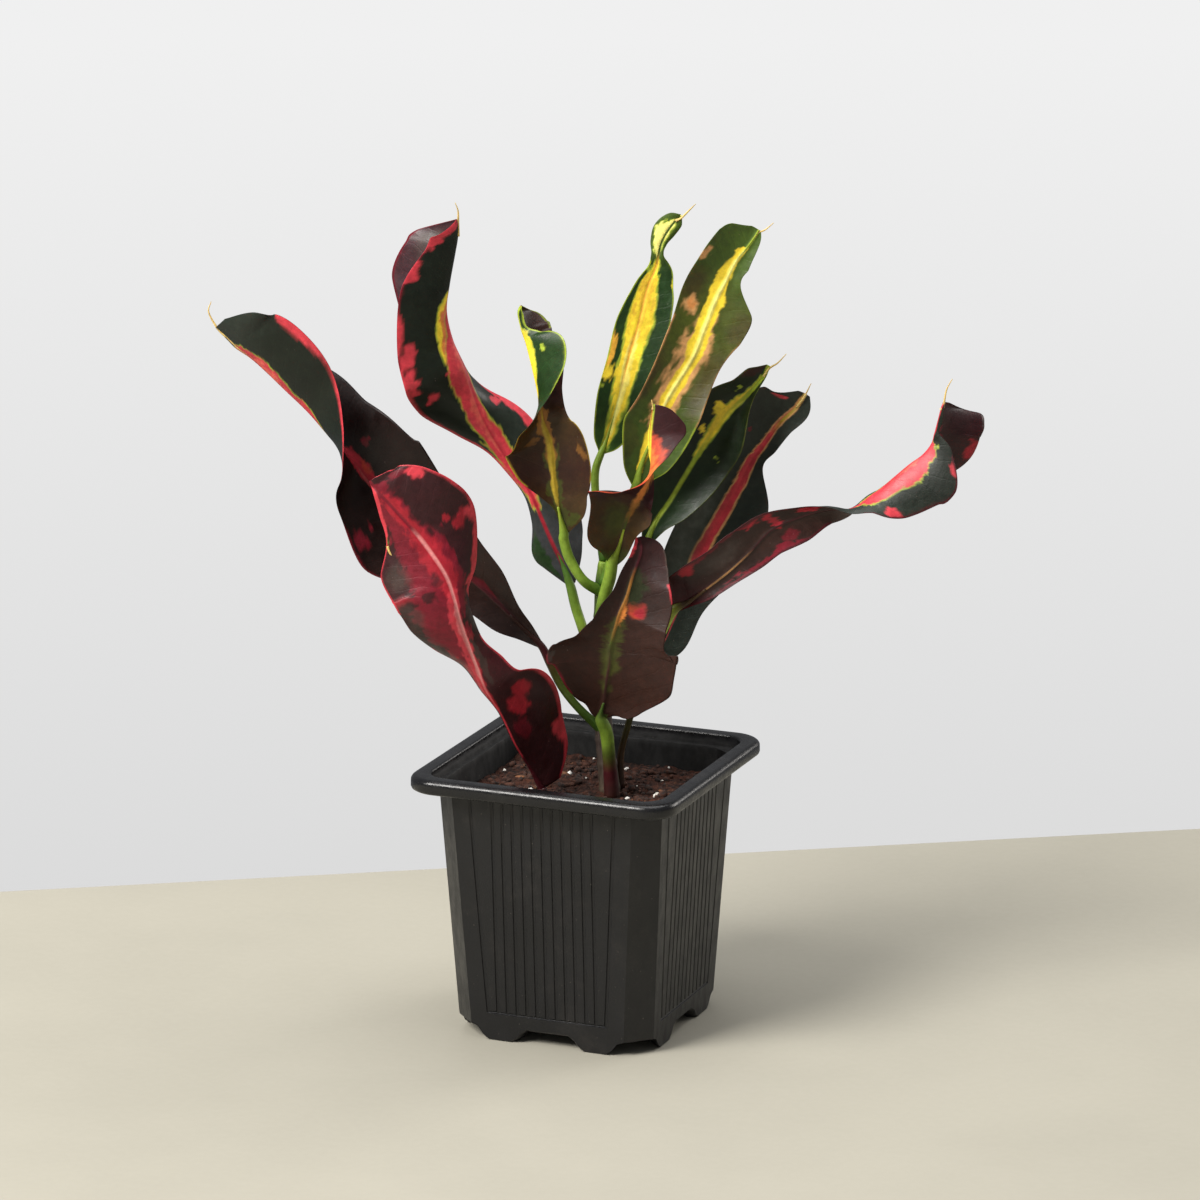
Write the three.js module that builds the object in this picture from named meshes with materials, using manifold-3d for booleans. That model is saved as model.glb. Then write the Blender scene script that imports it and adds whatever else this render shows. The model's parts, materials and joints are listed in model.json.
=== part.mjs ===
// A potted croton: a young plant with long, twisted, many-coloured leaves in a square
// black nursery pot. Millimetres, +Z up. The origin is on the ground below the middle of
// the pot, and the pot's sides lie along X and Y.
import * as THREE from 'three';
import { LoftGeometry } from 'three/addons/geometries/LoftGeometry.js';
import { mergeVertices } from 'three/addons/utils/BufferGeometryUtils.js';
import loadManifold from 'manifold-3d';

const wasm = await loadManifold();
wasm.setup();

// Pot
const POT_HEIGHT = 97;
const RIM_HALF = 50;
const RIM_CORNER = 11;
const RIM_BAND = 5.3;
const RIM_OPENING_HALF = 43.7;
const RIM_OPENING_CORNER = 8;
const RIM_BOTTOM_ROUND = 1;
const RIM_TOP_ROUND = { start: 1.8, inset: 0.5, end: 1.6 };
const RIM_OPENING_DRAFT = 0.7;
const LEDGE_SLOPE = 0.4;
const BODY_TOP_HALF = 42.3;
const BODY_BOTTOM_HALF = 37.2;
const CHAMFER = 8.2;
const CHAMFER_ROUNDING = 0.2;
const WALL = 1.3;
const FLOOR = 2;
const FLOOR_CROWN = 0.5;
const CROWN_HALF = 8;
const LEDGE_HEIGHT = 92.8;
const CORNER_STEPS = 4;
const ROUND = 1;
const POT_ROUGHNESS = 0.5;

// Feet, four pairs below the walls
const FOOT_HEIGHT = 5;
const FOOT_SPACING = 37;
const FOOT_TOP_WIDTH = 20;
const FOOT_BOTTOM_WIDTH = 9;
const FOOT_DEPTH = 4;
const FOOT_STEP = 0.2;

// Upright grooves that leave the ribs on each wall, and the drain holes in the floor
const GROOVES = 11;
const GROOVE_SPACING = 3.76;
const GROOVE_WIDTH = 0.7;
const GROOVE_DEPTH = 0.45;
const EDGE_GROOVE_OFFSET = 24.8;
const EDGE_GROOVE_WIDTH = 1.1;
const GROOVE_BOTTOM = 10;
const GROOVE_END = 1;
const DRAIN_RADIUS = 3.2;
const DRAIN_OFFSET = 30;
const DRAIN_SIDES = 12;

// Soil and plant
const SOIL_TOP = 84;
const SOIL_ROUGHNESS = 0.95;
const STEM_ROUGHNESS = 0.7;
const LEAF_ROUGHNESS = 0.45;
const GAP = 0.3;
const PLANT_TURN = THREE.MathUtils.degToRad(22);
const LEAF_THICKNESS = 0.9;
const HALFWAY_THICKNESS = 0.8;
const EDGE_THICKNESS = 0.5;
const LEAST_HALF_WIDTH = 0.6;
const STEPS_PER_STATION = 2;
const TUBE_SIDES = 8;
const DIRECTION_STEP = 0.05;
const MERGE_DISTANCE = 1e-5;
const UP = new THREE.Vector3(0, 0, 1);

const COLOURS = {
	pot: 0x2e2d2f,
	soil: 0x3a2417,
	mainStem: 0x55603a,
	green: 0x4d5f22,
	charcoal: 0x23281f,
	crimson: 0x7e2430,
	maroon: 0x3a1c1d,
	olive: 0x40351b,
	yellow: 0xb9a638,
};

// Each leaf's blade is a row of stations from its base to its tip. A station is a point
// of the midrib, the widths of the left and right half, the roll of the blade about the
// midrib and the fold of each half, in degrees: [x, y, z, left, right, roll, fold].
// Its petiole is a path of points with a radius. Y points away from the plant's front.
const LEAVES = [
	{
		name: 'leaf_far_left',
		colour: COLOURS.maroon,
		petiole: { radius: 1.4, path: [[6, 0, 106], [-3, -4, 116], [-9, -4, 124], [-13, -3, 132], [-16, -2, 139]] },
		stations: [
			[-16, -2, 138, 1, 1, 180, -10],
			[-21, -1, 143, 3, 4, 180, -15],
			[-27, 0, 149, 5, 8, 180, -20],
			[-36, 3, 157, 11, 10, 180, -20],
			[-48, 6, 167, 15, 15, 180, -20],
			[-62, 8, 181, 20, 24, 178, -20],
			[-76, 8, 195, 25, 17, 172, -25],
			[-82, 8, 203, 21, 14, 150, -40],
			[-90, 8, 211, 18, 16, 115, -55],
			[-98, 9, 220, 18, 19, 95, -60],
			[-106, 9, 228, 17, 24, 82, -50],
			[-116, 9, 238, 16, 25, 70, -40],
			[-122, 9, 243, 12, 22.4, 60, -30],
			[-126, 9, 247, 6, 20.5, 60, -22],
			[-129.8, 9, 250.4, 1, 7.5, 60, -20],
		],
	},
	{
		name: 'leaf_tall_left',
		colour: COLOURS.charcoal,
		petiole: { radius: 1.7, path: [[5, 0, 119], [1, 6, 133], [-1, 8, 140], [-4, 10, 149], [-6, 11, 158]] },
		stations: [
			[-6, 11, 157, 1, 2, 0, -10],
			[-9, 12, 165, 7, 8, 0, -15],
			[-12, 13, 171, 9, 12, 0, -20],
			[-16, 15, 180, 5, 14, 10, -25],
			[-20, 17, 189, 4, 14, 15, -30],
			[-26, 18, 198, 4, 15, 5, -25],
			[-31, 18, 206, 6, 16, -5, -25],
			[-36, 17, 215, 12, 14, -20, -25],
			[-40, 16, 225, 20, 11, -45, -35],
			[-43, 15, 235, 24, 17, -70, -45],
			[-47, 15, 245, 23, 20, -85, -55],
			[-49, 15, 255, 20, 20, -90, -58],
			[-48, 16, 264, 18, 24, -90, -60],
			[-46, 17, 275, 12, 21, -90, -60],
			[-45, 18, 281, 10, 18, -90, -55],
			[-45, 18, 287, 1, 1, -90, -40],
		],
	},
	{
		name: 'leaf_red_front',
		colour: COLOURS.crimson,
		petiole: { radius: 1.6, path: [[-13, -6, 80], [-16, -6, 87], [-18, -7, 91]] },
		stations: [
			[-16, -6, 87, 2, 8, 30, -40],
			[-20, -9, 95, 5, 17, 30, -50],
			[-25, -14, 105, 7, 21, 30, -55],
			[-30, -20, 118, 9, 22, 30, -55],
			[-35, -25, 128, 8, 14, 25, -42],
			[-38, -28, 137, 9, 10, 12, -35],
			[-41, -30, 146, 14, 6, -5, -28],
			[-44, -32, 156, 18, 7, -28, -32],
			[-46, -32, 164, 21, 8, -26, -28],
			[-49, -31, 172, 21.5, 15, -17, -20],
			[-56, -29, 182, 20, 22, -4, -13],
			[-62, -28, 189, 10.5, 22, 3, -10],
			[-67.5, -27, 195, 6, 19, 5, -8],
			[-71.5, -26, 199.2, 2.6, 15.2, 5, -6],
			[-73.6, -25, 201.6, 1, 11.8, 5, -4],
			[-74.5, -25, 202.8, 0.6, 8, 5, -2],
			[-75, -25, 203.5, 0.5, 3, 5, 0],
		],
	},
	{
		name: 'leaf_gold_left',
		colour: COLOURS.olive,
		petiole: { radius: 1.7, path: [[6, 0, 157], [-1, -3, 162], [-6, -3, 170], [-8, -4, 177], [-8, -5, 184]] },
		stations: [
			[-8, -5, 180, 2, 1, 178, -10],
			[-9, -6, 185, 8, 1, 180, -20],
			[-10, -7, 190, 11, 2, 180, -22],
			[-11, -7, 195, 13, 6, 180, -25],
			[-12, -8, 204, 15, 14, 180, -25],
			[-13, -8, 213, 14, 17, 180, -25],
			[-15, -8, 219, 11, 12, 170, -30],
			[-16, -8, 224, 9, 9, 145, -45],
			[-17, -7, 230, 9, 9, 115, -55],
			[-19, -6, 239, 12, 15, 98, -60],
			[-21, -5, 247, 11, 15.5, 89, -60],
			[-22, -4.5, 250, 12, 7, 80, -62],
			[-23, -4, 253, 12.5, 2.5, 70, -65],
			[-24, -3, 258, 11, 2, 60, -60],
			[-23, -3, 261, 0.6, 0.5, 60, -50],
		],
	},
	{
		name: 'leaf_yellow_narrow',
		colour: COLOURS.yellow,
		petiole: { radius: 1.3, path: [[6, 2, 168], [4, 6, 181], [3, 7, 191], [3, 9, 199], [5, 10, 206]] },
		stations: [
			[5, 10, 205, 1, 1, 0, 10],
			[7, 11, 210, 5, 6, 0, 10],
			[11, 13, 223, 8, 11, 0, 10],
			[14, 15, 236, 7.5, 10.5, 0, 10],
			[18, 17, 250, 8, 11, 0, 10],
			[21, 19, 262, 5, 10, 0, 10],
			[24, 20, 269, 3, 6.6, 0, 8],
			[25, 20, 274, 2.6, 2, 0, 0],
			[26, 21, 278, 4, 2, 0, -5],
			[28, 21, 282, 5.1, 3, 0, -8],
			[31, 21, 286, 3.8, 2.8, 0, -5],
			[33, 21, 288, 0.5, 0.5, 0, 0],
		],
	},
	{
		name: 'leaf_tall_right',
		colour: COLOURS.green,
		petiole: { radius: 1.7, path: [[6, -1, 160], [10, 0, 173], [13, 3, 184], [17, 4, 196]] },
		stations: [
			[17, 4, 194, 1, 1, 180, 0],
			[19, 5, 202, 9, 7, 180, -15],
			[24, 6, 214, 12.5, 12.5, 180, -15],
			[28, 7, 225, 14, 10.5, 180, -20],
			[37, 8, 240, 10.5, 13, 175, -15],
			[41, 9, 250, 14, 12.5, 180, -15],
			[45, 10, 260, 14.5, 13, 185, -15],
			[49, 10, 268, 5.5, 13.8, 180, -20],
			[52, 10, 274, 5.5, 13.2, 178, -20],
			[56, 10, 279, 3.8, 12.6, 180, -18],
			[58.5, 10, 282.5, 2.5, 10, 180, -15],
			[60, 10, 285, 0.8, 3, 180, -10],
		],
	},
	{
		name: 'leaf_cup',
		colour: COLOURS.olive,
		petiole: { radius: 2.1, path: [[5, -1, 146], [6, -5, 156], [8, -7, 164], [9, -8, 172]] },
		stations: [
			[9, -8, 170, 2, 2, 180, -10],
			[11, -9, 175, 4, 9, 180, -30],
			[13, -11, 183, 6, 17, 178, -40],
			[15, -12, 189, 9, 18.5, 176, -36],
			[17.3, -12.5, 193.2, 7.5, 24, 172, -34],
			[19, -13, 196, 5, 13.5, 165, -38],
			[22, -13, 203, 1.5, 4, 120, -30],
			[22, -13, 210, 0.8, 8, 50, -12],
			[22, -12, 217, 0.8, 12, 25, -10],
			[22.5, -12, 222, 0.6, 12, 20, -10],
			[23, -12, 226, 0.5, 7.5, 20, -8],
			[23, -12, 228, 0.4, 0.5, 20, 0],
		],
	},
	{
		name: 'leaf_right_green',
		colour: COLOURS.green,
		petiole: { radius: 1.6, path: [[5, 1, 143], [13, 8, 158], [20, 8, 172]] },
		stations: [
			[20, 8, 171, 1, 1, 0, 10],
			[24, 10, 180, 5, 5, 0, 15],
			[29, 12, 187, 10, 9, 0, 20],
			[34, 14, 195, 12, 12, 0, 20],
			[39, 16, 203, 13, 13, 0, 20],
			[45, 17, 212, 13, 13, 5, 25],
			[51, 18, 219, 12, 9, 10, 30],
			[57, 18, 225, 9, 4, 15, 40],
			[62, 17, 231, 7, 2, 25, 45],
			[64, 17, 235, 1, 0.5, 30, 30],
		],
	},
	{
		name: 'leaf_red_rib',
		colour: COLOURS.charcoal,
		petiole: { radius: 1.1, path: [[12, 3, 80], [12, 6, 96], [15, 8, 108], [18, 9, 118], [22, 10, 129]] },
		stations: [
			[22, 10, 128, 1, 1, 0, 5],
			[27, 13, 136, 8, 8, 0, 10],
			[33, 17, 149, 11, 9, 0, 12],
			[39, 21, 163, 13, 15, 0, 12],
			[45, 24, 174, 14, 15, 0, 12],
			[52, 26, 186, 16, 14, 0, 15],
			[58, 27, 198, 17, 5, -5, 20],
			[63, 27, 205, 17.4, 5, -5, 19],
			[68, 26.5, 212, 17.6, 5.2, -5, 16],
			[74, 26, 218, 13.8, 5.2, -5, 16],
			[77, 25, 223, 3, 2, -5, 12],
		],
	},
	{
		name: 'leaf_long_right',
		colour: COLOURS.maroon,
		petiole: { radius: 2, path: [[5, -1, 118], [17, -2, 131], [24, -3, 140], [31, -3, 152]] },
		stations: [
			[30, -3, 151, 1, 1, 180, -5],
			[36, -4, 155, 2, 12, 180, -20],
			[42, -6, 160, 4, 14, 180, -25],
			[50, -8, 167, 5, 12, 180, -20],
			[57, -9, 174, 7, 11, 180, -15],
			[64, -10, 182, 9, 8, 178, -15],
			[74, -10, 187, 9, 5, 170, -20],
			[84, -10, 190, 6, 5, 140, -30],
			[92, -10, 190, 7, 5, 100, -20],
			[98, -9, 193, 6, 8, 72, -20],
			[103, -9, 197, 7, 14, 70, -40],
			[112, -8, 205, 12, 18, 80, -50],
			[117, -8, 209, 16, 18, 88, -58],
			[120, -8, 213, 19, 9, 90, -60],
			[121, -8, 217, 20, 2, 90, -60],
			[122, -8, 221, 21.5, 2, 90, -55],
			[123, -8, 225, 20, 1.5, 90, -45],
			[124, -8, 227.5, 5, 1, 90, -30],
		],
	},
	{
		name: 'leaf_front_broad',
		colour: COLOURS.maroon,
		petiole: { radius: 2.2, path: [[9, -7, 80], [8, -8, 96], [7, -10, 108], [5, -12, 116]] },
		stations: [
			[5, -12, 114, 1, 1, 180, -5],
			[5, -13, 117, 6.5, 4, 180, -10],
			[6, -14, 121, 14, 9, 180, -14],
			[7, -16, 129, 23, 16, 180, -17],
			[8, -17, 136, 24, 21, 180, -17],
			[8, -17, 139.8, 25.2, 23, 180, -17],
			[8.2, -17, 141.6, 24.4, 20, 180, -17],
			[8.6, -17, 143.6, 22.4, 14.6, 180, -17],
			[9.2, -17, 146.2, 19.8, 11.8, 180, -17],
			[10.2, -17, 149.6, 18.5, 9.5, 180, -17],
			[11.4, -17, 154, 18, 8, 179, -18],
			[14, -16, 160, 17, 6, 177, -19],
			[16, -15, 167, 14, 5, 174, -20],
			[18, -13, 172, 11, 4, 172, -20],
			[19, -12, 176, 8, 3.5, 170, -20],
			[18, -11, 180, 1.5, 1, 170, -10],
		],
	},
];

const STEM = {
	path: [[8, 0, 80], [7, 0, 96], [6, 0, 108], [5, 0, 121], [5, 0, 136], [5, 0, 150], [5, 1, 160], [6, 1, 168]],
	radii: [3.7, 3.4, 3.2, 3, 2.8, 2.5, 2.2, 1.9],
};

// ---- solids -------------------------------------------------------------------------

/** Turns a closed geometry into a solid that can be joined and cut. */
function toSolid(geometry) {
	const bare = new THREE.BufferGeometry();
	bare.setAttribute('position', geometry.attributes.position);
	bare.setIndex(geometry.index);
	const merged = mergeVertices(bare, MERGE_DISTANCE);
	return new wasm.Manifold(new wasm.Mesh({
		numProp: 3,
		vertProperties: new Float32Array(merged.attributes.position.array),
		triVerts: new Uint32Array(merged.index.array),
	}));
}

/** Turns a solid back into a geometry with flat-shaded normals. */
function toGeometry(solid) {
	const mesh = solid.getMesh();
	const geometry = new THREE.BufferGeometry();
	geometry.setAttribute('position', new THREE.BufferAttribute(new Float32Array(mesh.vertProperties), 3));
	geometry.setIndex(new THREE.BufferAttribute(new Uint32Array(mesh.triVerts), 1));
	geometry.computeVertexNormals();
	return geometry;
}

/** Makes the named mesh of a sub-part. */
function makePart(name, solid, color, roughness) {
	const material = new THREE.MeshStandardMaterial({ color, roughness, metalness: 0 });
	const part = new THREE.Mesh(toGeometry(solid), material);
	part.name = name;
	return part;
}

/** Reads one value from a row of stations by a Catmull-Rom curve through it. */
function splineValue(rows, column, position) {
	const last = rows.length - 1;
	const index = Math.min(Math.floor(position), last - 1);
	const t = position - index;
	const value = (i) => {
		if (i < 0) return 2 * rows[0][column] - rows[1][column];
		if (i > last) return 2 * rows[last][column] - rows[last - 1][column];
		return rows[i][column];
	};
	const [a, b, c, d] = [value(index - 1), value(index), value(index + 1), value(index + 2)];
	return 0.5 * (2 * b + (c - a) * t + (2 * a - 5 * b + 4 * c - d) * t * t + (3 * b - a - 3 * c + d) * t ** 3);
}

// ---- pot ----------------------------------------------------------------------------

/** One level ring of the pot: a square whose corners are cut straight or rounded. */
function potRing(half, corner, rounding, z) {
	const ring = [];
	for (let quarter = 0; quarter < 4; quarter += 1) {
		for (let step = 0; step <= CORNER_STEPS; step += 1) {
			const t = step / CORNER_STEPS;
			const arc = t * Math.PI / 2;
			const cutX = half - corner * t;
			const cutY = half - corner * (1 - t);
			const arcX = half - corner + corner * Math.cos(arc);
			const arcY = half - corner + corner * Math.sin(arc);
			const point = new THREE.Vector3(
				THREE.MathUtils.lerp(cutX, arcX, rounding),
				THREE.MathUtils.lerp(cutY, arcY, rounding),
				z,
			);
			ring.push(point.applyAxisAngle(UP, quarter * Math.PI / 2));
		}
	}
	return ring;
}

/** Half the width across the outside of the pot's wall at a height. */
function wallHalf(z) {
	const along = (z - FOOT_HEIGHT) / (POT_HEIGHT - RIM_BAND - FOOT_HEIGHT);
	return THREE.MathUtils.lerp(BODY_BOTTOM_HALF, BODY_TOP_HALF, along);
}

/** The shell of the pot: outside wall, rolled rim, ledge, inside wall and floor. */
function potShell() {
	const rimBottom = POT_HEIGHT - RIM_BAND;
	const innerCorner = CHAMFER - WALL * (2 - Math.SQRT2);
	const floorTop = FOOT_HEIGHT + FLOOR;
	const { start, inset, end } = RIM_TOP_ROUND;
	const rings = [
		potRing(BODY_BOTTOM_HALF, CHAMFER, CHAMFER_ROUNDING, FOOT_HEIGHT),
		potRing(wallHalf(rimBottom), CHAMFER, CHAMFER_ROUNDING, rimBottom),
		potRing(RIM_HALF - RIM_BOTTOM_ROUND, RIM_CORNER - RIM_BOTTOM_ROUND, ROUND, rimBottom),
		potRing(RIM_HALF, RIM_CORNER, ROUND, rimBottom + RIM_BOTTOM_ROUND),
		potRing(RIM_HALF, RIM_CORNER, ROUND, POT_HEIGHT - start),
		potRing(RIM_HALF - inset, RIM_CORNER - inset, ROUND, POT_HEIGHT - inset),
		potRing(RIM_HALF - end, RIM_CORNER - end, ROUND, POT_HEIGHT),
		potRing(RIM_OPENING_HALF, RIM_OPENING_CORNER, ROUND, POT_HEIGHT),
		potRing(RIM_OPENING_HALF - RIM_OPENING_DRAFT, RIM_OPENING_CORNER, ROUND, LEDGE_HEIGHT + LEDGE_SLOPE),
		potRing(wallHalf(LEDGE_HEIGHT) - WALL, innerCorner, CHAMFER_ROUNDING, LEDGE_HEIGHT),
		potRing(wallHalf(floorTop) - WALL, innerCorner, CHAMFER_ROUNDING, floorTop),
		potRing(CROWN_HALF, CROWN_HALF / 2, CHAMFER_ROUNDING, floorTop + FLOOR_CROWN),
	];
	return toSolid(new LoftGeometry(rings, { capStart: true, capEnd: true }));
}

/** One foot, a low trapezoid block that carries the wall down to the ground. */
function potFoot() {
	const overlap = FLOOR / 2;
	const outline = new THREE.Shape([
		new THREE.Vector2(-FOOT_BOTTOM_WIDTH / 2, 0),
		new THREE.Vector2(FOOT_BOTTOM_WIDTH / 2, 0),
		new THREE.Vector2(FOOT_TOP_WIDTH / 2, FOOT_HEIGHT + overlap),
		new THREE.Vector2(-FOOT_TOP_WIDTH / 2, FOOT_HEIGHT + overlap),
	]);
	const block = new THREE.ExtrudeGeometry(outline, { depth: FOOT_DEPTH, bevelEnabled: false });
	block.rotateX(Math.PI / 2);
	block.translate(0, FOOT_DEPTH - BODY_BOTTOM_HALF + FOOT_STEP, 0);
	return block;
}

/** The tool that cuts one upright groove into the wall at a distance from its middle. */
function grooveCutter(offset, width) {
	const rimBottom = POT_HEIGHT - RIM_BAND;
	const height = rimBottom - GROOVE_BOTTOM - GROOVE_END;
	const lean = Math.atan((BODY_TOP_HALF - BODY_BOTTOM_HALF) / (rimBottom - FOOT_HEIGHT));
	const middle = GROOVE_BOTTOM + height / 2;
	const cutter = new THREE.BoxGeometry(width, 2 * GROOVE_DEPTH, height);
	cutter.rotateX(lean);
	cutter.translate(offset, -wallHalf(middle), middle);
	return cutter;
}

/** Everything that one side of the pot adds and cuts away, before it is turned in place. */
function potSide() {
	const offsets = Array.from({ length: GROOVES }, (_, i) => (i - (GROOVES - 1) / 2) * GROOVE_SPACING);
	const feet = [-1, 1].map((side) => potFoot().translate(side * FOOT_SPACING / 2, 0, 0));
	const cutters = offsets.map((offset) => grooveCutter(offset, GROOVE_WIDTH));
	cutters.push(grooveCutter(-EDGE_GROOVE_OFFSET, EDGE_GROOVE_WIDTH));
	cutters.push(grooveCutter(EDGE_GROOVE_OFFSET, EDGE_GROOVE_WIDTH));
	return { feet, cutters };
}

/** The whole pot: shell, eight feet, ribbed walls and four drain holes. */
function makePot() {
	let pot = potShell();
	const cuts = [];
	for (let quarter = 0; quarter < 4; quarter += 1) {
		const turn = quarter * Math.PI / 2;
		const { feet, cutters } = potSide();
		for (const foot of feet) {
			pot = pot.add(toSolid(foot.rotateZ(turn)));
		}
		cuts.push(...cutters.map((cutter) => cutter.rotateZ(turn)));
		const drain = new THREE.CylinderGeometry(DRAIN_RADIUS, DRAIN_RADIUS, 4 * FLOOR, DRAIN_SIDES);
		drain.rotateX(Math.PI / 2).translate(DRAIN_OFFSET, DRAIN_OFFSET, FOOT_HEIGHT).rotateZ(turn);
		cuts.push(drain);
	}
	for (const cut of cuts) {
		pot = pot.subtract(toSolid(cut));
	}
	return makePart('pot', pot, COLOURS.pot, POT_ROUGHNESS);
}

/** The block of peat soil that fills the pot, clear of its walls. */
function makeSoil() {
	const bottom = FOOT_HEIGHT + FLOOR + FLOOR_CROWN + GAP;
	const corner = CHAMFER - WALL * (2 - Math.SQRT2);
	const rings = [bottom, SOIL_TOP].map((z) => potRing(wallHalf(z) - WALL - GAP, corner, CHAMFER_ROUNDING, z));
	const soil = toSolid(new LoftGeometry(rings, { capStart: true, capEnd: true }));
	return makePart('soil', soil, COLOURS.soil, SOIL_ROUGHNESS);
}

// ---- plant --------------------------------------------------------------------------

/** A tube of changing radius along a path of points, closed at both ends. */
function taperedTube(path, radii) {
	const rows = path.map((point, i) => [...point, radii[i]]);
	const steps = (rows.length - 1) * STEPS_PER_STATION;
	const curve = new THREE.CatmullRomCurve3(path.map((point) => new THREE.Vector3(...point)));
	const frames = curve.computeFrenetFrames(steps);
	const rings = [];
	for (let step = 0; step <= steps; step += 1) {
		const centre = curve.getPointAt(step / steps);
		const radius = splineValue(rows, 3, step / steps * (rows.length - 1));
		rings.push(Array.from({ length: TUBE_SIDES }, (_, side) => {
			const angle = side / TUBE_SIDES * Math.PI * 2;
			return centre.clone()
				.addScaledVector(frames.normals[step], Math.cos(angle) * radius)
				.addScaledVector(frames.binormals[step], Math.sin(angle) * radius);
		}));
	}
	return toSolid(new LoftGeometry(rings, { capStart: true, capEnd: true }));
}

/** The midrib point and the two directions across and out of the blade at a position. */
function bladeFrame(stations, position) {
	const point = (at) => new THREE.Vector3(
		splineValue(stations, 0, at),
		splineValue(stations, 1, at),
		splineValue(stations, 2, at),
	);
	const last = stations.length - 1;
	const centre = point(position);
	const ahead = point(Math.min(position + DIRECTION_STEP, last));
	const behind = point(Math.max(position - DIRECTION_STEP, 0));
	const along = ahead.sub(behind).normalize();
	const across = new THREE.Vector3(0, 1, 0).cross(along).normalize();
	const out = across.clone().cross(along);
	const roll = THREE.MathUtils.degToRad(splineValue(stations, 5, position));
	return {
		centre,
		across: across.clone().multiplyScalar(Math.cos(roll)).addScaledVector(out, Math.sin(roll)),
		out: out.multiplyScalar(Math.cos(roll)).addScaledVector(across, -Math.sin(roll)),
	};
}

/** The closed section of a blade: up one face from edge to edge and back down the other. */
function bladeSection(stations, position) {
	const { centre, across, out } = bladeFrame(stations, position);
	const fold = THREE.MathUtils.degToRad(splineValue(stations, 6, position));
	const left = Math.max(splineValue(stations, 3, position), LEAST_HALF_WIDTH);
	const right = Math.max(splineValue(stations, 4, position), LEAST_HALF_WIDTH);
	const spots = [
		[-1, left, EDGE_THICKNESS],
		[-0.5, left, HALFWAY_THICKNESS],
		[0, 0, LEAF_THICKNESS],
		[0.5, right, HALFWAY_THICKNESS],
		[1, right, EDGE_THICKNESS],
	];
	const faceSpot = ([share, width, thickness], side) => {
		const reach = Math.abs(share) * width;
		return centre.clone()
			.addScaledVector(across, Math.sign(share) * Math.cos(fold) * reach)
			.addScaledVector(out, Math.sin(fold) * reach + side * thickness / 2);
	};
	const upper = spots.map((spot) => faceSpot(spot, 1));
	const lower = spots.map((spot) => faceSpot(spot, -1)).reverse();
	return [...upper, ...lower];
}

/** The thin solid blade of a leaf, lofted through its sections. */
function leafBlade(stations) {
	const steps = (stations.length - 1) * STEPS_PER_STATION;
	const sections = [];
	for (let step = 0; step <= steps; step += 1) {
		sections.push(bladeSection(stations, step / STEPS_PER_STATION));
	}
	return toSolid(new LoftGeometry(sections, { capStart: true, capEnd: true }));
}

/** A block that reaches a gap above the soil, to trim off what would grow into it. */
function soilClearance() {
	const block = new THREE.BoxGeometry(RIM_HALF, RIM_HALF, SOIL_TOP);
	block.translate(0, 0, SOIL_TOP / 2 + GAP);
	return toSolid(block);
}

/** The stem swollen by a gap, with a ball round its tip, to trim the petioles off it. */
function stemClearance() {
	const swollen = taperedTube(STEM.path, STEM.radii.map((radius) => radius + GAP));
	const ball = new THREE.SphereGeometry(STEM.radii.at(-1) + 2 * GAP, TUBE_SIDES, TUBE_SIDES);
	ball.translate(...STEM.path.at(-1));
	return swollen.add(toSolid(ball));
}

/** The main stem, standing on the soil. */
function makeStem() {
	const solid = taperedTube(STEM.path, STEM.radii).subtract(soilClearance());
	return makePart('main_stem', solid, COLOURS.mainStem, STEM_ROUGHNESS);
}

/** A whole leaf: its blade joined to its petiole, which stops short of stem and soil. */
function makeLeaf(leaf, clearance) {
	const { radius, path } = leaf.petiole;
	const petiole = taperedTube(path, path.map(() => radius));
	const solid = leafBlade(leaf.stations).add(petiole).subtract(clearance);
	return makePart(leaf.name, solid, leaf.colour, LEAF_ROUGHNESS);
}

const croton = new THREE.Group();
croton.add(makePot(), makeSoil());

const plant = new THREE.Group();
plant.rotation.z = PLANT_TURN;
plant.add(makeStem());
const clearance = stemClearance().add(soilClearance());
for (const leaf of LEAVES) {
	plant.add(makeLeaf(leaf, clearance));
}
croton.add(plant);

export default croton;
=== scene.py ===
"""A young croton with twisted, variegated leaves in a square black nursery pot."""

import json
import logging
import math
from dataclasses import dataclass, field
from enum import Enum

import bpy
import numpy as np
from mathutils import Matrix, Vector

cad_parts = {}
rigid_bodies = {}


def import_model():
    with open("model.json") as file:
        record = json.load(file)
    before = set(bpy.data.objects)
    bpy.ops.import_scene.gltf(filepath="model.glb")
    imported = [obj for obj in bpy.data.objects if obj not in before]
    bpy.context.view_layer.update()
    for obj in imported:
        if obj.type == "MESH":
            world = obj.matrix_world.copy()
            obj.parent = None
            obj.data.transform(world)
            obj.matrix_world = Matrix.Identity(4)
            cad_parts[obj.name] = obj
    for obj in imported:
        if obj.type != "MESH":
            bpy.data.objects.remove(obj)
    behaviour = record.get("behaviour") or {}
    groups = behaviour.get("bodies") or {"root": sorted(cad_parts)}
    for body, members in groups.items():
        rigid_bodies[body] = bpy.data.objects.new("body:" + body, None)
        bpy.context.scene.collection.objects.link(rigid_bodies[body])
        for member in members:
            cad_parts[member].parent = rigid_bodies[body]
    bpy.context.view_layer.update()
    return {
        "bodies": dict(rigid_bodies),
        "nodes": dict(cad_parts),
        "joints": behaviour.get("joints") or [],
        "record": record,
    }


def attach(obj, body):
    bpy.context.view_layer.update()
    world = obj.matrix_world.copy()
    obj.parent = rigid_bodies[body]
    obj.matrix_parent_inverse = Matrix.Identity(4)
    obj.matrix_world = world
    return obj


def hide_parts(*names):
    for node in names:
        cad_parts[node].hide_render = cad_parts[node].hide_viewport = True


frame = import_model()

MM = 0.001
PLANT_TURN = math.radians(22)
DIRECTION_STEP = 0.05
NOISE_KNOTS = 64
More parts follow.
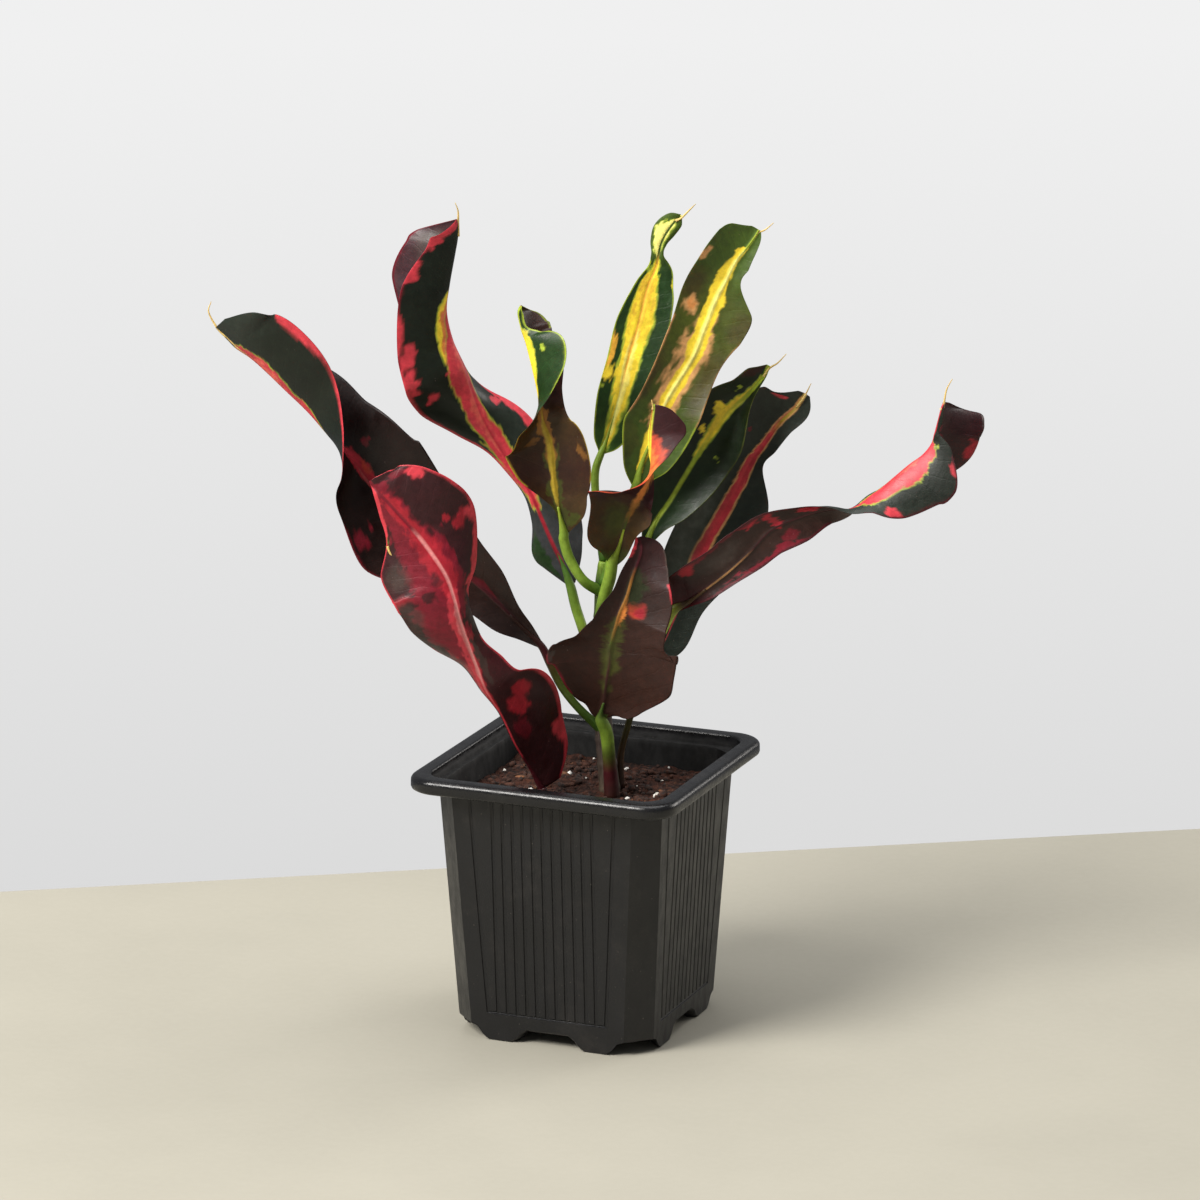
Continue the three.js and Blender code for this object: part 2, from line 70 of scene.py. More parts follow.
LOG = logging.getLogger("croton")


# ---- colours and noise ----------------------------------------------------------------


class Tint(Enum):
    """The named colours that the plant, the peat and the pot are painted with."""

    BLACK_GREEN = "131a11"
    FOREST = "172411"
    DEEP_GREEN = "1c3612"
    LEAF_GREEN = "3c5e1e"
    MOSS = "42571d"
    OLIVE = "47501a"
    OLIVE_BROWN = "433017"
    LIME = "a3b63a"
    FRESH_GREEN = "789330"
    YELLOW = "f6d63a"
    PALE_YELLOW = "f7ee86"
    AMBER = "e3a93c"
    GOLD = "b3972c"
    OCHRE = "96652a"
    TAN = "bb8a58"
    ORANGE = "d5803a"
    PEACH = "d6a067"
    CORAL = "dd6a58"
    RED_ORANGE = "bc452a"
    PINK_RED = "c83a45"
    ROSE = "cf8280"
    SCARLET = "9c1e2b"
    CRIMSON = "701423"
    WINE = "441018"
    MAROON = "331316"
    PLUM = "3b2228"
    BROWN = "301810"
    UMBER = "2b1813"
    BLACK_BROWN = "190b09"
    GREY_BROWN = "453a35"
    SLATE = "262d26"
    # Grey-green that paints a sheen on a dark leaf.
    PAINTED_SHEEN = "535850"
    CHARCOAL = "343537"
    BARK = "4b4033"
    DRY = "d9ba72"


def linear(code: str) -> np.ndarray:
    """Turns a colour code into linear light.

    Args:
        code: six hexadecimal digits, two each for red, green and blue.

    Returns:
        The three linear values.
    """
    values = np.array([int(code[i : i + 2], 16) / 255 for i in (0, 2, 4)])
    return np.where(values <= 0.04045, values / 12.92, ((values + 0.055) / 1.055) ** 2.4)


def rgba(code: str) -> tuple[float, float, float, float]:
    """Gives a colour code as the opaque linear colour that a socket takes."""
    return (*linear(code).tolist(), 1.0)


def smoothstep(low: float, high: float, value: np.ndarray) -> np.ndarray:
    """Eases from 0 at low to 1 at high."""
    t = np.clip((value - low) / (high - low), 0, 1)
    return t * t * (3 - 2 * t)


def noise(x: np.ndarray, y: np.ndarray, scale: float, seed: int) -> np.ndarray:
    """Makes smooth value noise over a surface.

    Args:
        x: first coordinate of each point.
        y: second coordinate of each point.
        scale: distance between the noise's knots, in the coordinates' unit.
        seed: picks one noise out of many.

    Returns:
        A value from -1 to 1 for each point.
    """
    knots = np.random.default_rng(seed).uniform(-1, 1, (NOISE_KNOTS, NOISE_KNOTS))
    gx, gy = x / scale, y / scale
    ix, iy = np.floor(gx).astype(int), np.floor(gy).astype(int)
    tx, ty = smoothstep(0, 1, gx - ix), smoothstep(0, 1, gy - iy)
    left, right = ix % NOISE_KNOTS, (ix + 1) % NOISE_KNOTS
    near, far = iy % NOISE_KNOTS, (iy + 1) % NOISE_KNOTS
    low = knots[left, near] * (1 - tx) + knots[right, near] * tx
    high = knots[left, far] * (1 - tx) + knots[right, far] * tx
    return low * (1 - ty) + high * ty


def through(rows: np.ndarray, at: np.ndarray) -> np.ndarray:
    """Reads rows of values as one smooth Catmull-Rom curve.

    Args:
        rows: one row of values per knot.
        at: positions along the curve, counted in knots.

    Returns:
        One row of values per position.
    """
    knots = np.vstack([2 * rows[0] - rows[1], rows, 2 * rows[-1] - rows[-2]])
    index = np.minimum(np.floor(at).astype(int), len(rows) - 2)
    t = (at - index)[:, None]
    a, b, c, d = (knots[index + i] for i in range(4))
    return 0.5 * (2 * b + (c - a) * t + (2 * a - 5 * b + 4 * c - d) * t**2 + (3 * b - a - 3 * c + d) * t**3)


# ---- node materials -------------------------------------------------------------------


class Shader:
    """A node material under construction, with short calls for the nodes it uses."""

    def __init__(self, name: str) -> None:
        """Starts a material of that name with an empty Principled shader.

        Args:
            name: the material's name.
        """
        self.material = bpy.data.materials.new(name)
        self.material.use_nodes = True
        self.tree = self.material.node_tree
        self.tree.nodes.clear()
        self.surface = self.tree.nodes.new("ShaderNodeBsdfPrincipled")
        output = self.tree.nodes.new("ShaderNodeOutputMaterial")
        self.link(self.surface.outputs[0], output.inputs[0])

    def link(self, source: bpy.types.NodeSocket, target: bpy.types.NodeSocket) -> None:
        """Joins two sockets."""
        self.tree.links.new(source, target)

    def feed(self, socket: bpy.types.NodeSocket, value: object) -> None:
        """Gives a socket a value, or links it if the value is another socket.

        Args:
            socket: the socket to feed.
            value: a number, a colour or a socket.
        """
        if isinstance(value, bpy.types.NodeSocket):
            self.link(value, socket)
        else:
            socket.default_value = value

    def set(self, **values: object) -> None:
        """Sets the Principled shader's sockets, named with _ for a space."""
        for key, value in values.items():
            self.feed(self.surface.inputs[key.replace("_", " ")], value)

    def place(self) -> bpy.types.NodeSocket:
        """Gives the point's own place on the object, in metres."""
        return self.tree.nodes.new("ShaderNodeTexCoord").outputs["Object"]

    def attribute(self, name: str, output: str) -> bpy.types.NodeSocket:
        """Reads a painted value of the mesh by its name.

        Args:
            name: the attribute's name.
            output: which form of it is wanted, such as "Color".

        Returns:
            The value at each point.
        """
        node = self.tree.nodes.new("ShaderNodeAttribute")
        node.attribute_name = name
        return node.outputs[output]

    def split(self, vector: bpy.types.NodeSocket) -> tuple[bpy.types.NodeSocket, ...]:
        """Splits a vector into its three values.

        Args:
            vector: the vector.

        Returns:
            Its X, Y and Z.
        """
        node = self.tree.nodes.new("ShaderNodeSeparateXYZ")
        self.link(vector, node.inputs[0])
        return tuple(node.outputs)

    def stretch(
        self, vector: bpy.types.NodeSocket, scale: tuple[float, float, float]
    ) -> bpy.types.NodeSocket:
        """Scales a vector along each axis.

        Args:
            vector: the vector.
            scale: the factor along X, Y and Z.

        Returns:
            The scaled vector.
        """
        node = self.tree.nodes.new("ShaderNodeMapping")
        self.link(vector, node.inputs["Vector"])
        node.inputs["Scale"].default_value = scale
        return node.outputs[0]

    def math(self, operation: str, *values: object) -> bpy.types.NodeSocket:
        """Adds a math node of that operation.

        Args:
            operation: the node's operation.
            values: numbers or sockets that it works on.

        Returns:
            The result.
        """
        node = self.tree.nodes.new("ShaderNodeMath")
        node.operation = operation
        for socket, value in zip(node.inputs, values):
            self.feed(socket, value)
        return node.outputs[0]

    def ramp(
        self, value: bpy.types.NodeSocket, low: float, high: float, start: float = 0, end: float = 1
    ) -> bpy.types.NodeSocket:
        """Eases a value from start at low to end at high.

        Args:
            value: the value.
            low: where the ease begins.
            high: where it is complete.
            start: the result up to low.
            end: the result from high on.

        Returns:
            The eased value.
        """
        node = self.tree.nodes.new("ShaderNodeMapRange")
        node.interpolation_type = "SMOOTHSTEP"
        for socket, number in zip(node.inputs, (value, low, high, start, end)):
            self.feed(socket, number)
        return node.outputs[0]

    def grain(
        self, vector: bpy.types.NodeSocket, scale: float, detail: float = 3, rough: float = 0.55
    ) -> bpy.types.NodeSocket:
        """Adds a noise texture and gives its value.

        Args:
            vector: where the noise is read.
            scale: how fine it is.
            detail: how many finer layers it has.
            rough: how strong the finer layers are.

        Returns:
            The noise, from 0 to 1.
        """
        node = self.tree.nodes.new("ShaderNodeTexNoise")
        self.link(vector, node.inputs["Vector"])
        node.inputs["Scale"].default_value = scale
        node.inputs["Detail"].default_value = detail
        node.inputs["Roughness"].default_value = rough
        return node.outputs["Fac"]

    def mix(self, kind: str, factor: object, first: object, second: object) -> bpy.types.NodeSocket:
        """Blends two colours in the given way.

        Args:
            kind: the node's blend type.
            factor: share of the second colour.
            first: a colour or a socket.
            second: a colour or a socket.

        Returns:
            The blended colour.
        """
        node = self.tree.nodes.new("ShaderNodeMix")
        node.data_type = "RGBA"
        node.blend_type = kind
        self.feed(node.inputs[0], factor)
        self.feed(node.inputs[6], first)
        self.feed(node.inputs[7], second)
        return node.outputs[2]

    def bump(self, height: bpy.types.NodeSocket, distance: float, strength: float = 1) -> None:
        """Gives the surface a fine relief of that height, in metres.

        Args:
            height: the relief, as a share of the distance.
            distance: how high a relief of 1 stands, in metres.
            strength: share of the relief that shows.
        """
        node = self.tree.nodes.new("ShaderNodeBump")
        node.inputs["Distance"].default_value = distance
        node.inputs["Strength"].default_value = strength
        self.link(height, node.inputs["Height"])
        self.link(node.outputs[0], self.surface.inputs["Normal"])


@dataclass(frozen=True)
class LeafFinish:
    """The living skin of a leaf: painted colour, side veins, specks and gloss."""

    roughness: float = 0.43
    coat: float = 0.05
    vein_spacing: float = 5.5
    vein_slant: float = 0.62
    vein_contrast: float = 0.05
    specks: float = 0.35
    speck_colour: str = "a08c84"
    specular: float = 0.28

    def material(self, name: str) -> bpy.types.Material:
        """Builds the node material.

        Args:
            name: the material's name.

        Returns:
            The material, which reads the mesh's "tint" and "grain".
        """
        shader = Shader(name)
        tint = shader.attribute("tint", "Color")
        along, reach, _ = shader.split(shader.attribute("grain", "Vector"))
        place = shader.place()
        out = shader.math("ABSOLUTE", reach)
        wander = shader.math("MULTIPLY", shader.grain(place, 160), 3.0)
        run = shader.math(
            "ADD", shader.math("SUBTRACT", along, shader.math("MULTIPLY", out, self.vein_slant)), wander
        )
        phase = shader.math("FRACT", shader.math("DIVIDE", run, self.vein_spacing))
        off_vein = shader.math("ABSOLUTE", shader.math("SUBTRACT", phase, 0.5))
        vein = shader.ramp(off_vein, 0.0, 0.09, 1, 0)
        inner = shader.ramp(out, 1.0, 3.0)
        vein = shader.math("MULTIPLY", vein, inner)
        mottle = shader.ramp(shader.grain(place, 420, 4, 0.6), 0.32, 0.68, 0.86, 1.14)
        cloud = shader.ramp(shader.grain(place, 90, 2), 0.3, 0.7, 0.86, 1.14)
        shade = shader.math("MULTIPLY", mottle, cloud)
        shade = shader.math("ADD", shade, shader.math("MULTIPLY", vein, self.vein_contrast))
        colour = shader.mix("MULTIPLY", 1.0, tint, shade)
        speck = shader.ramp(shader.grain(place, 1500, 2, 0.7), 0.70, 0.76, 0, self.specks)
        patch = shader.ramp(shader.grain(place, 55, 2), 0.5, 0.62)
        colour = shader.mix("MIX", shader.math("MULTIPLY", speck, patch), colour, rgba(self.speck_colour))
        gloss = shader.ramp(
            shader.grain(place, 210, 4), 0.3, 0.7, self.roughness - 0.07, self.roughness + 0.1
        )
        relief = shader.math(
            "ADD",
            shader.math("MULTIPLY", vein, -0.12),
            shader.math("MULTIPLY", shader.grain(place, 700, 5, 0.6), 0.4),
        )
        shader.set(Base_Color=colour, Roughness=gloss, Coat_Weight=self.coat, Coat_Roughness=0.22)
        shader.set(Specular_IOR_Level=self.specular, Subsurface_Weight=0.04, Subsurface_Scale=0.0012)
        shader.bump(relief, 0.00022)
        return shader.material


@dataclass(frozen=True)
class BarkFinish:
    """Stem skin: painted colour with lengthwise streaks and small corky spots."""

    roughness: float = 0.55
    cork_colour: str = "6f6250"

    def material(self, name: str) -> bpy.types.Material:
        """Builds the node material of that name.

        Args:
            name: the material's name.

        Returns:
            The material.
        """
        shader = Shader(name)
        tint = shader.attribute("tint", "Color")
        place = shader.place()
        streak = shader.grain(shader.stretch(place, (1, 1, 0.22)), 900, 4)
        shade = shader.ramp(streak, 0.3, 0.7, 0.72, 1.25)
        colour = shader.mix("MULTIPLY", 1.0, tint, shade)
        cork = shader.ramp(shader.grain(place, 650, 2), 0.62, 0.7, 0, 0.5)
        colour = shader.mix("MIX", cork, colour, rgba(self.cork_colour))
        shader.set(
            Base_Color=colour,
            Roughness=shader.ramp(streak, 0.3, 0.7, self.roughness - 0.12, self.roughness + 0.1),
        )
        shader.set(Specular_IOR_Level=0.4)
        shader.bump(streak, 0.00025)
        return shader.material


@dataclass(frozen=True)
class PotFinish:
    """Black injection-moulded plastic: satin, faintly dusty and scuffed, with painted shade on the inside
    walls.
    """

    colour: str = "131315"
    painted_shade_colour: str = "070605"
    dust_colour: str = "6a625c"
    speck_colour: str = "8d8378"
    roughness: float = 0.37
    inside_roughness: float = 0.45
    rim_smoothness: float = 0.13
    rim_start: float = 0.0905
    rim_end: float = 0.0925

    def material(self, name: str) -> bpy.types.Material:
        """Builds the node material of that name.

        Args:
            name: the material's name.

        Returns:
            The material.
        """
        shader = Shader(name)
        place = shader.place()
        _, _, height = shader.split(place)
        cloud = shader.grain(place, 28, 4, 0.6)
        fine = shader.grain(place, 1300, 3, 0.6)
        shade = shader.ramp(cloud, 0.3, 0.7, 0.84, 1.16)
        # Inside mask: the inside walls are painted near black as shade, and made rougher.
        inside = shader.attribute("tint", "Fac")
        colour = shader.mix("MIX", inside, rgba(self.colour), rgba(self.painted_shade_colour))
        colour = shader.mix("MULTIPLY", 1.0, colour, shade)
        dust = shader.math("MULTIPLY", shader.ramp(shader.grain(place, 70, 6, 0.7), 0.5, 0.75), 0.07)
        colour = shader.mix("MIX", dust, colour, rgba(self.dust_colour))
        speck = shader.ramp(shader.grain(place, 900, 2, 0.7), 0.72, 0.78, 0, 0.4)
        colour = shader.mix("MIX", speck, colour, rgba(self.speck_colour))
        scuff = shader.grain(shader.stretch(place, (1, 1, 0.4)), 260, 4, 0.65)
        rough = shader.ramp(scuff, 0.3, 0.72, self.roughness - 0.06, self.roughness + 0.12)
        rim = shader.ramp(height, self.rim_start, self.rim_end, 0, -self.rim_smoothness)
        rough = shader.math(
            "ADD", shader.math("ADD", rough, rim), shader.math("MULTIPLY", inside, self.inside_roughness)
        )
        shader.set(Base_Color=colour, Roughness=rough, Specular_IOR_Level=0.42)
        shader.bump(shader.math("ADD", fine, shader.math("MULTIPLY", scuff, 0.6)), 0.00007)
        return shader.material


@dataclass(frozen=True)
class PeatFinish:
    """Damp peat: dark red-brown crumbs with lighter fibres."""

    dark: str = "150b07"
    light: str = "4a2515"
    fibre_colour: str = "8a5f3f"

    def material(self, name: str) -> bpy.types.Material:
        """Builds the node material of that name.

        Args:
            name: the material's name.

        Returns:
            The material.
        """
        shader = Shader(name)
        place = shader.place()
        crumb = shader.grain(place, 420, 8, 0.68)
        patch = shader.grain(place, 110, 3)
        both = shader.math("ADD", shader.math("MULTIPLY", crumb, 0.7), shader.math("MULTIPLY", patch, 0.3))
        colour = shader.mix("MIX", shader.ramp(both, 0.38, 0.64), rgba(self.dark), rgba(self.light))
        fibre = shader.grain(shader.stretch(place, (1, 0.14, 1)), 1500, 2)
        colour = shader.mix("MIX", shader.ramp(fibre, 0.66, 0.72, 0, 0.6), colour, rgba(self.fibre_colour))
        shader.set(
            Base_Color=colour, Roughness=shader.ramp(crumb, 0.3, 0.7, 0.95, 0.75), Specular_IOR_Level=0.3
        )
        shader.bump(crumb, 0.0012)
        return shader.material


@dataclass(frozen=True)
class GrainFinish:
    """Loose bits in the peat: one colour family with a crumbly surface."""

    dark: str
    light: str
    roughness: float = 0.85

    def material(self, name: str) -> bpy.types.Material:
        """Builds the node material of that name.

        Args:
            name: the material's name.

        Returns:
            The material.
        """
        shader = Shader(name)
        place = shader.place()
        fine = shader.grain(place, 1400, 5, 0.65)
        colour = shader.mix(
            "MIX", shader.ramp(shader.grain(place, 350, 3), 0.35, 0.65), rgba(self.dark), rgba(self.light)
        )
        colour = shader.mix("MULTIPLY", 1.0, colour, shader.ramp(fine, 0.3, 0.7, 0.8, 1.15))
        shader.set(
            Base_Color=colour,
            Roughness=shader.ramp(fine, 0.3, 0.7, self.roughness - 0.1, self.roughness + 0.1),
        )
        shader.bump(fine, 0.0003)
        return shader.material


@dataclass(frozen=True)
class TableFinish:
    """A plain pale table top."""

    colour: str = "a9a598"

    def material(self, name: str) -> bpy.types.Material:
        """Builds the node material of that name.

        Args:
            name: the material's name.

        Returns:
            The material.
        """
        shader = Shader(name)
        place = shader.place()
        shade = shader.ramp(shader.grain(place, 9, 5), 0.3, 0.7, 0.97, 1.03)
        shader.set(Base_Color=shader.mix("MULTIPLY", 1.0, rgba(self.colour), shade))
        shader.set(
            Roughness=shader.ramp(shader.grain(place, 300, 3), 0.3, 0.7, 0.75, 0.9), Specular_IOR_Level=0.25
        )
        return shader.material


# ---- meshes ---------------------------------------------------------------------------


class Skin:
    """Gathers the rings of points of one piece and their paint, then makes its mesh."""

    def __init__(self) -> None:
        """Starts with nothing."""
        self.points: list[np.ndarray] = []
        self.paint: list[np.ndarray] = []
        self.grain: list[np.ndarray] = []
        self.faces: list[list[int]] = []
        self.count = 0

    def loft(
        self, rings: np.ndarray, paint: np.ndarray | None = None, grain: np.ndarray | None = None
    ) -> None:
        """Skins a row of closed rings and caps both ends.

        Args:
            rings: points in millimetres, as rings x points x 3, counterclockwise seen from the end.
            paint: a linear colour for each point.
            grain: the along, reach and side of each point.
        """
        rows, columns = rings.shape[:2]
        index = np.arange(rows * columns).reshape(rows, columns) + self.count
        right = np.roll(index, -1, axis=1)
        quads = np.stack([index[:-1], right[:-1], right[1:], index[1:]], axis=-1).reshape(-1, 4)
        self.faces += quads.tolist()
        self.faces.append(index[0][::-1].tolist())
        self.faces.append(index[-1].tolist())
        self.add(rings.reshape(-1, 3), paint, grain)

    def add(self, points: np.ndarray, paint: np.ndarray | None, grain: np.ndarray | None) -> None:
        """Keeps points with their paint and grain, or blank ones where there are none.

        Args:
            points: points in millimetres.
            paint: a linear colour for each point.
            grain: the along, reach and side of each point.
        """
        size = len(points)
        self.points.append(points)
        self.paint.append(np.zeros((size, 3)) if paint is None else paint.reshape(-1, 3))
        self.grain.append(np.zeros((size, 3)) if grain is None else grain.reshape(-1, 3))
        self.count += size

    def close(self, points: np.ndarray, faces: list[list[int]]) -> None:
        """Adds a finished closed mesh of points and faces."""
        self.faces += [[i + self.count for i in face] for face in faces]
        self.add(points, None, None)

    def build(self, name: str, material: bpy.types.Material, turn: float = 0) -> bpy.types.Object:
        """Makes the object, smooth shaded.

        Args:
            name: the piece's name.
            material: its finish.
            turn: angle about Z that it is turned by, in radians.

        Returns:
            The mesh object, in metres.
        """
        points = np.vstack(self.points) * MM
        c, s = math.cos(turn), math.sin(turn)
        points = points @ np.array([[c, s, 0], [-s, c, 0], [0, 0, 1]])
        mesh = bpy.data.meshes.new(name)
        mesh.from_pydata(points.tolist(), [], self.faces)
        colour = np.hstack([np.vstack(self.paint), np.ones((self.count, 1))])
        tint = mesh.attributes.new("tint", "FLOAT_COLOR", "POINT")
        tint.data.foreach_set("color", colour.astype(np.float32).ravel())
        grain = mesh.attributes.new("grain", "FLOAT_VECTOR", "POINT")
        grain.data.foreach_set("vector", np.vstack(self.grain).astype(np.float32).ravel())
        mesh.polygons.foreach_set("use_smooth", np.ones(len(mesh.polygons), dtype=bool))
        mesh.materials.append(material)
        mesh.update()
        piece = bpy.data.objects.new(name, mesh)
        bpy.context.scene.collection.objects.link(piece)
        return piece


def tube(
    path: np.ndarray, radii: np.ndarray, sides: int = 12, steps: int = 6
) -> tuple[np.ndarray, np.ndarray]:
    """Sweeps a round section along a smooth path.

    Args:
        path: points in millimetres.
        radii: the radius at each point.
        sides: points round the section.
        steps: rings from one point to the next.

    Returns:
        The rings, and how far along the path each one is, counted in its points.
    """
    at = np.linspace(0, len(path) - 1, (len(path) - 1) * steps + 1)
    rows = through(np.column_stack([path, radii]), at)
    centre, radius = rows[:, :3], np.maximum(rows[:, 3], 0.02)
    ahead = np.gradient(centre, axis=0)
    ahead /= np.linalg.norm(ahead, axis=1, keepdims=True)
    first = np.cross(np.array([0.0, 1.0, 0.0]), ahead)
    first /= np.linalg.norm(first, axis=1, keepdims=True)
    second = np.cross(ahead, first)
    angle = np.arange(sides) / sides * 2 * math.pi
    ring = first[:, None] * np.cos(angle)[None, :, None] + second[:, None] * np.sin(angle)[None, :, None]
    return centre[:, None] + ring * radius[:, None, None], at


# ---- leaves ---------------------------------------------------------------------------


@dataclass(frozen=True)
class Band:
    """A stripe of colour along a leaf, in front of a thin fringe if it has one.

    Each width is a station with the stripe's width there on the left and the right half.
    """

    tint: Tint
    widths: tuple[tuple[float, float, float], ...]
    fringe: Tint | None = None
    ragged: float = 1
    strength: float = 1
    soft: float = 1


@dataclass(frozen=True)
class Patch:
    """A blotch of colour at a station and a share of the way to the margin."""

    tint: Tint
    at: float
    across: float
    length: float
    width: float
    strength: float = 1
    soft: float = 1


@dataclass(frozen=True)
class Face:
    """How one side of a blade is painted: bands lie along the midrib, hems along the margin."""

    ground: tuple[tuple[float, Tint], ...]
    rib: tuple[tuple[float, Tint], ...]
    rib_width: float = 0.7
    bands: tuple[Band, ...] = ()
    hems: tuple[Band, ...] = ()
    patches: tuple[Patch, ...] = ()


@dataclass(frozen=True)
class Leaf:
    """One leaf: a twisted blade with its petiole and the drawn-out hair at its tip.

    A station is a point of the midrib, the widths of the left and right half, the roll of
    the blade about the midrib and the fold of each half: (x, y, z, left, right, roll, fold).
    """

    name: str
    slot: str
    stations: tuple[tuple[float, ...], ...]
    petiole: tuple[tuple[float, float, float], ...]
    petiole_radius: float
    petiole_tints: tuple[tuple[float, Tint], ...]
    upper: Face
    under: Face
    hair: tuple[tuple[float, float, float], ...] = ()
    hair_root: bool = True
    ripple: float = 0.35
    puff: float = 0.12
    finish: LeafFinish = field(default_factory=LeafFinish)
    steps: int = 12
    half_columns: int = 32
    thickness: float = 0.5
    least_half: float = 0.3
    wave_length: float = 9.5
    groove_depth: float = 0.25
    groove_width: float = 0.7
    ridge_height: float = 0.45
    ridge_width: float = 0.8

    def seed(self) -> int:
        """Gives this leaf's own start for its noise."""
        return sum(ord(letter) * (i + 1) for i, letter in enumerate(self.name))

    def spots(self) -> tuple[np.ndarray, np.ndarray]:
        """Lays out the blade's grid.

        Returns:
            Station positions along the blade, and shares across it from -1 to 1.
        """
        last = len(self.stations) - 1
        at = np.linspace(0, last, last * self.steps + 1)
        share = np.linspace(-1, 1, 2 * self.half_columns + 1)
        return at, np.sign(share) * np.abs(share) ** 1.1

    def midrib(self, at: np.ndarray) -> tuple[np.ndarray, np.ndarray, np.ndarray, np.ndarray]:
        """Finds the midrib and the directions of the blade at positions along it.

        Args:
            at: positions, counted in stations.

        Returns:
            The rows of values, the points, the direction across and the direction out of
            the upper face.
        """
        rows = np.array(self.stations, float)
        last = len(rows) - 1
        values = through(rows, at)
        ahead = through(rows, np.minimum(at + DIRECTION_STEP, last))[:, :3]
        behind = through(rows, np.maximum(at - DIRECTION_STEP, 0))[:, :3]
        along = ahead - behind
        along /= np.linalg.norm(along, axis=1, keepdims=True)
        across = np.cross(np.array([0.0, 1.0, 0.0]), along)
        across /= np.linalg.norm(across, axis=1, keepdims=True)
        out = np.cross(across, along)
        roll = np.radians(values[:, 5])[:, None]
        turned = np.cos(roll) * across + np.sin(roll) * out
        outward = -np.sin(roll) * across + np.cos(roll) * out
        return values, values[:, :3], turned, outward

    def blade(self) -> tuple[np.ndarray, np.ndarray, np.ndarray, np.ndarray]:
        """Shapes both faces of the blade.

        Returns:
            The upper points, the lower points, the distance along in millimetres and the
            signed distance from the midrib.
        """
        at, share = self.spots()
        values, centre, across, out = self.midrib(at)
        walked = np.concatenate([[0], np.cumsum(np.linalg.norm(np.diff(centre, axis=0), axis=1))])
        left, right = np.maximum(values[:, 3], self.least_half), np.maximum(values[:, 4], self.least_half)
        fold = np.radians(values[:, 6])[:, None]
        width = np.where(share[None] < 0, left[:, None], right[:, None])
        part = np.abs(share)[None]
        reach = width * part
        along = walked[:, None] + 0 * reach
        side = np.sign(share)[None]
        bulge = -np.clip(fold / math.radians(30), -1, 1) * self.puff * width * 4 * part * (1 - part)
        vein = np.cos((along - self.finish.vein_slant * reach) / self.finish.vein_spacing * 2 * math.pi)
        pucker = 0.03 * vein * smoothstep(0.05, 0.4, part) * smoothstep(1.0, 0.75, part)
        wave = np.sin(along / self.wave_length + side * 1.3 + self.seed()) * part**2 * self.ripple
        wave = wave * np.clip(width / 8, 0, 1)
        groove = -self.groove_depth * np.exp(-((reach / self.groove_width) ** 2))
        ridge = self.ridge_height * np.exp(-((reach / self.ridge_width) ** 2))
        lift = np.sin(fold) * reach + bulge + pucker + wave
        half = self.thickness / 2 * np.clip(1.25 - part**3, 0.35, 1) * np.clip(width / 3, 0.35, 1)
        base = centre[:, None] + across[:, None] * (side * np.cos(fold) * reach)[..., None]
        normal = out[:, None]
        upper = base + normal * (lift + half + groove)[..., None]
        lower = base + normal * (lift - half - ridge * np.clip(width / 6, 0, 1))[..., None]
        return upper, lower, along, side * reach

    def coat(self, face: Face, mirror: int) -> np.ndarray:
        """Paints one face of the blade.

        Args:
            face: how it is painted.
            mirror: picks the noise, so that the two faces differ.

        Returns:
            A linear colour for each point of the grid.
        """
        at, share = self.spots()
        rows = through(np.array(self.stations, float), at)
        width = np.where(share[None] < 0, rows[:, 3:4], rows[:, 4:5]).clip(self.least_half)
        reach = np.abs(share)[None] * width
        wander, drift = self.wobble(mirror)
        station = at[:, None] + 0.14 * wander
        spot = share[None] + 1.2 * drift / np.maximum(width, 8)
        colour = self.shades(face.ground, at[:, None] + 0.3 * wander)
        for band in face.bands:
            colour = self.stripe(colour, band, reach, station, drift)
        for patch in face.patches:
            far = np.hypot((station - patch.at) / patch.length, (spot - patch.across) / patch.width)
            colour = self.blend(
                colour,
                patch.tint,
                smoothstep(1 + 0.15 * patch.soft, 1 - 0.2 * patch.soft, far) * patch.strength,
            )
        for hem in face.hems:
            colour = self.stripe(colour, hem, width - reach, station, drift)
        rib = self.shades(face.rib, at[:, None] + 0 * reach)
        inside = smoothstep(face.rib_width * 1.5, face.rib_width * 0.5, reach)
        return colour + (rib - colour) * inside[..., None]

    def wobble(self, mirror: int) -> tuple[np.ndarray, np.ndarray]:
        """Makes the unevenness of the painted edges.

        Args:
            mirror: picks the noise, so that the two faces differ.

        Returns:
            The unevenness along and across the blade.
        """
        at, share = self.spots()
        y, x = np.meshgrid(at * 10 + 40, share * 16 + 40, indexing="ij")
        seed = self.seed() + 50 * mirror
        fields = []
        for start in (seed, seed + 9):
            sizes = enumerate(((5.5, 0.8), (2.4, 0.6), (1.1, 0.5)))
            layers = [noise(x, y, scale, start + i) * size for i, (scale, size) in sizes]
            fields.append(sum(layers))
        return fields[0], fields[1]

    def stripe(
        self, colour: np.ndarray, band: Band, depth: np.ndarray, station: np.ndarray, drift: np.ndarray
    ) -> np.ndarray:
        """Lays a band over the paint.

        Args:
            colour: the paint so far.
            band: the band.
            depth: distance from the band's line, in millimetres.
            station: the wandering place along the leaf.
            drift: the unevenness across the leaf.

        Returns:
            The paint with the band on it.
        """
        _, share = self.spots()
        places = [row[0] for row in band.widths]
        left = np.interp(station, places, [row[1] for row in band.widths])
        right = np.interp(station, places, [row[2] for row in band.widths])
        limit = np.where(share[None] < 0, left, right)
        limit = np.where(limit < 0.05, -3, limit)
        beyond = np.maximum(places[0] - station, 0) + np.maximum(station - places[-1], 0)
        over = depth + 0.42 * band.ragged * drift * np.clip(limit, 0.4, 2) - limit + 7 * beyond
        if band.fringe is not None:
            colour = self.blend(colour, band.fringe, smoothstep(0.9, 0.3, over) * (limit > 0) * 0.8)
        return self.blend(
            colour, band.tint, smoothstep(0.35 * band.soft, -0.3 * band.soft, over) * band.strength
        )

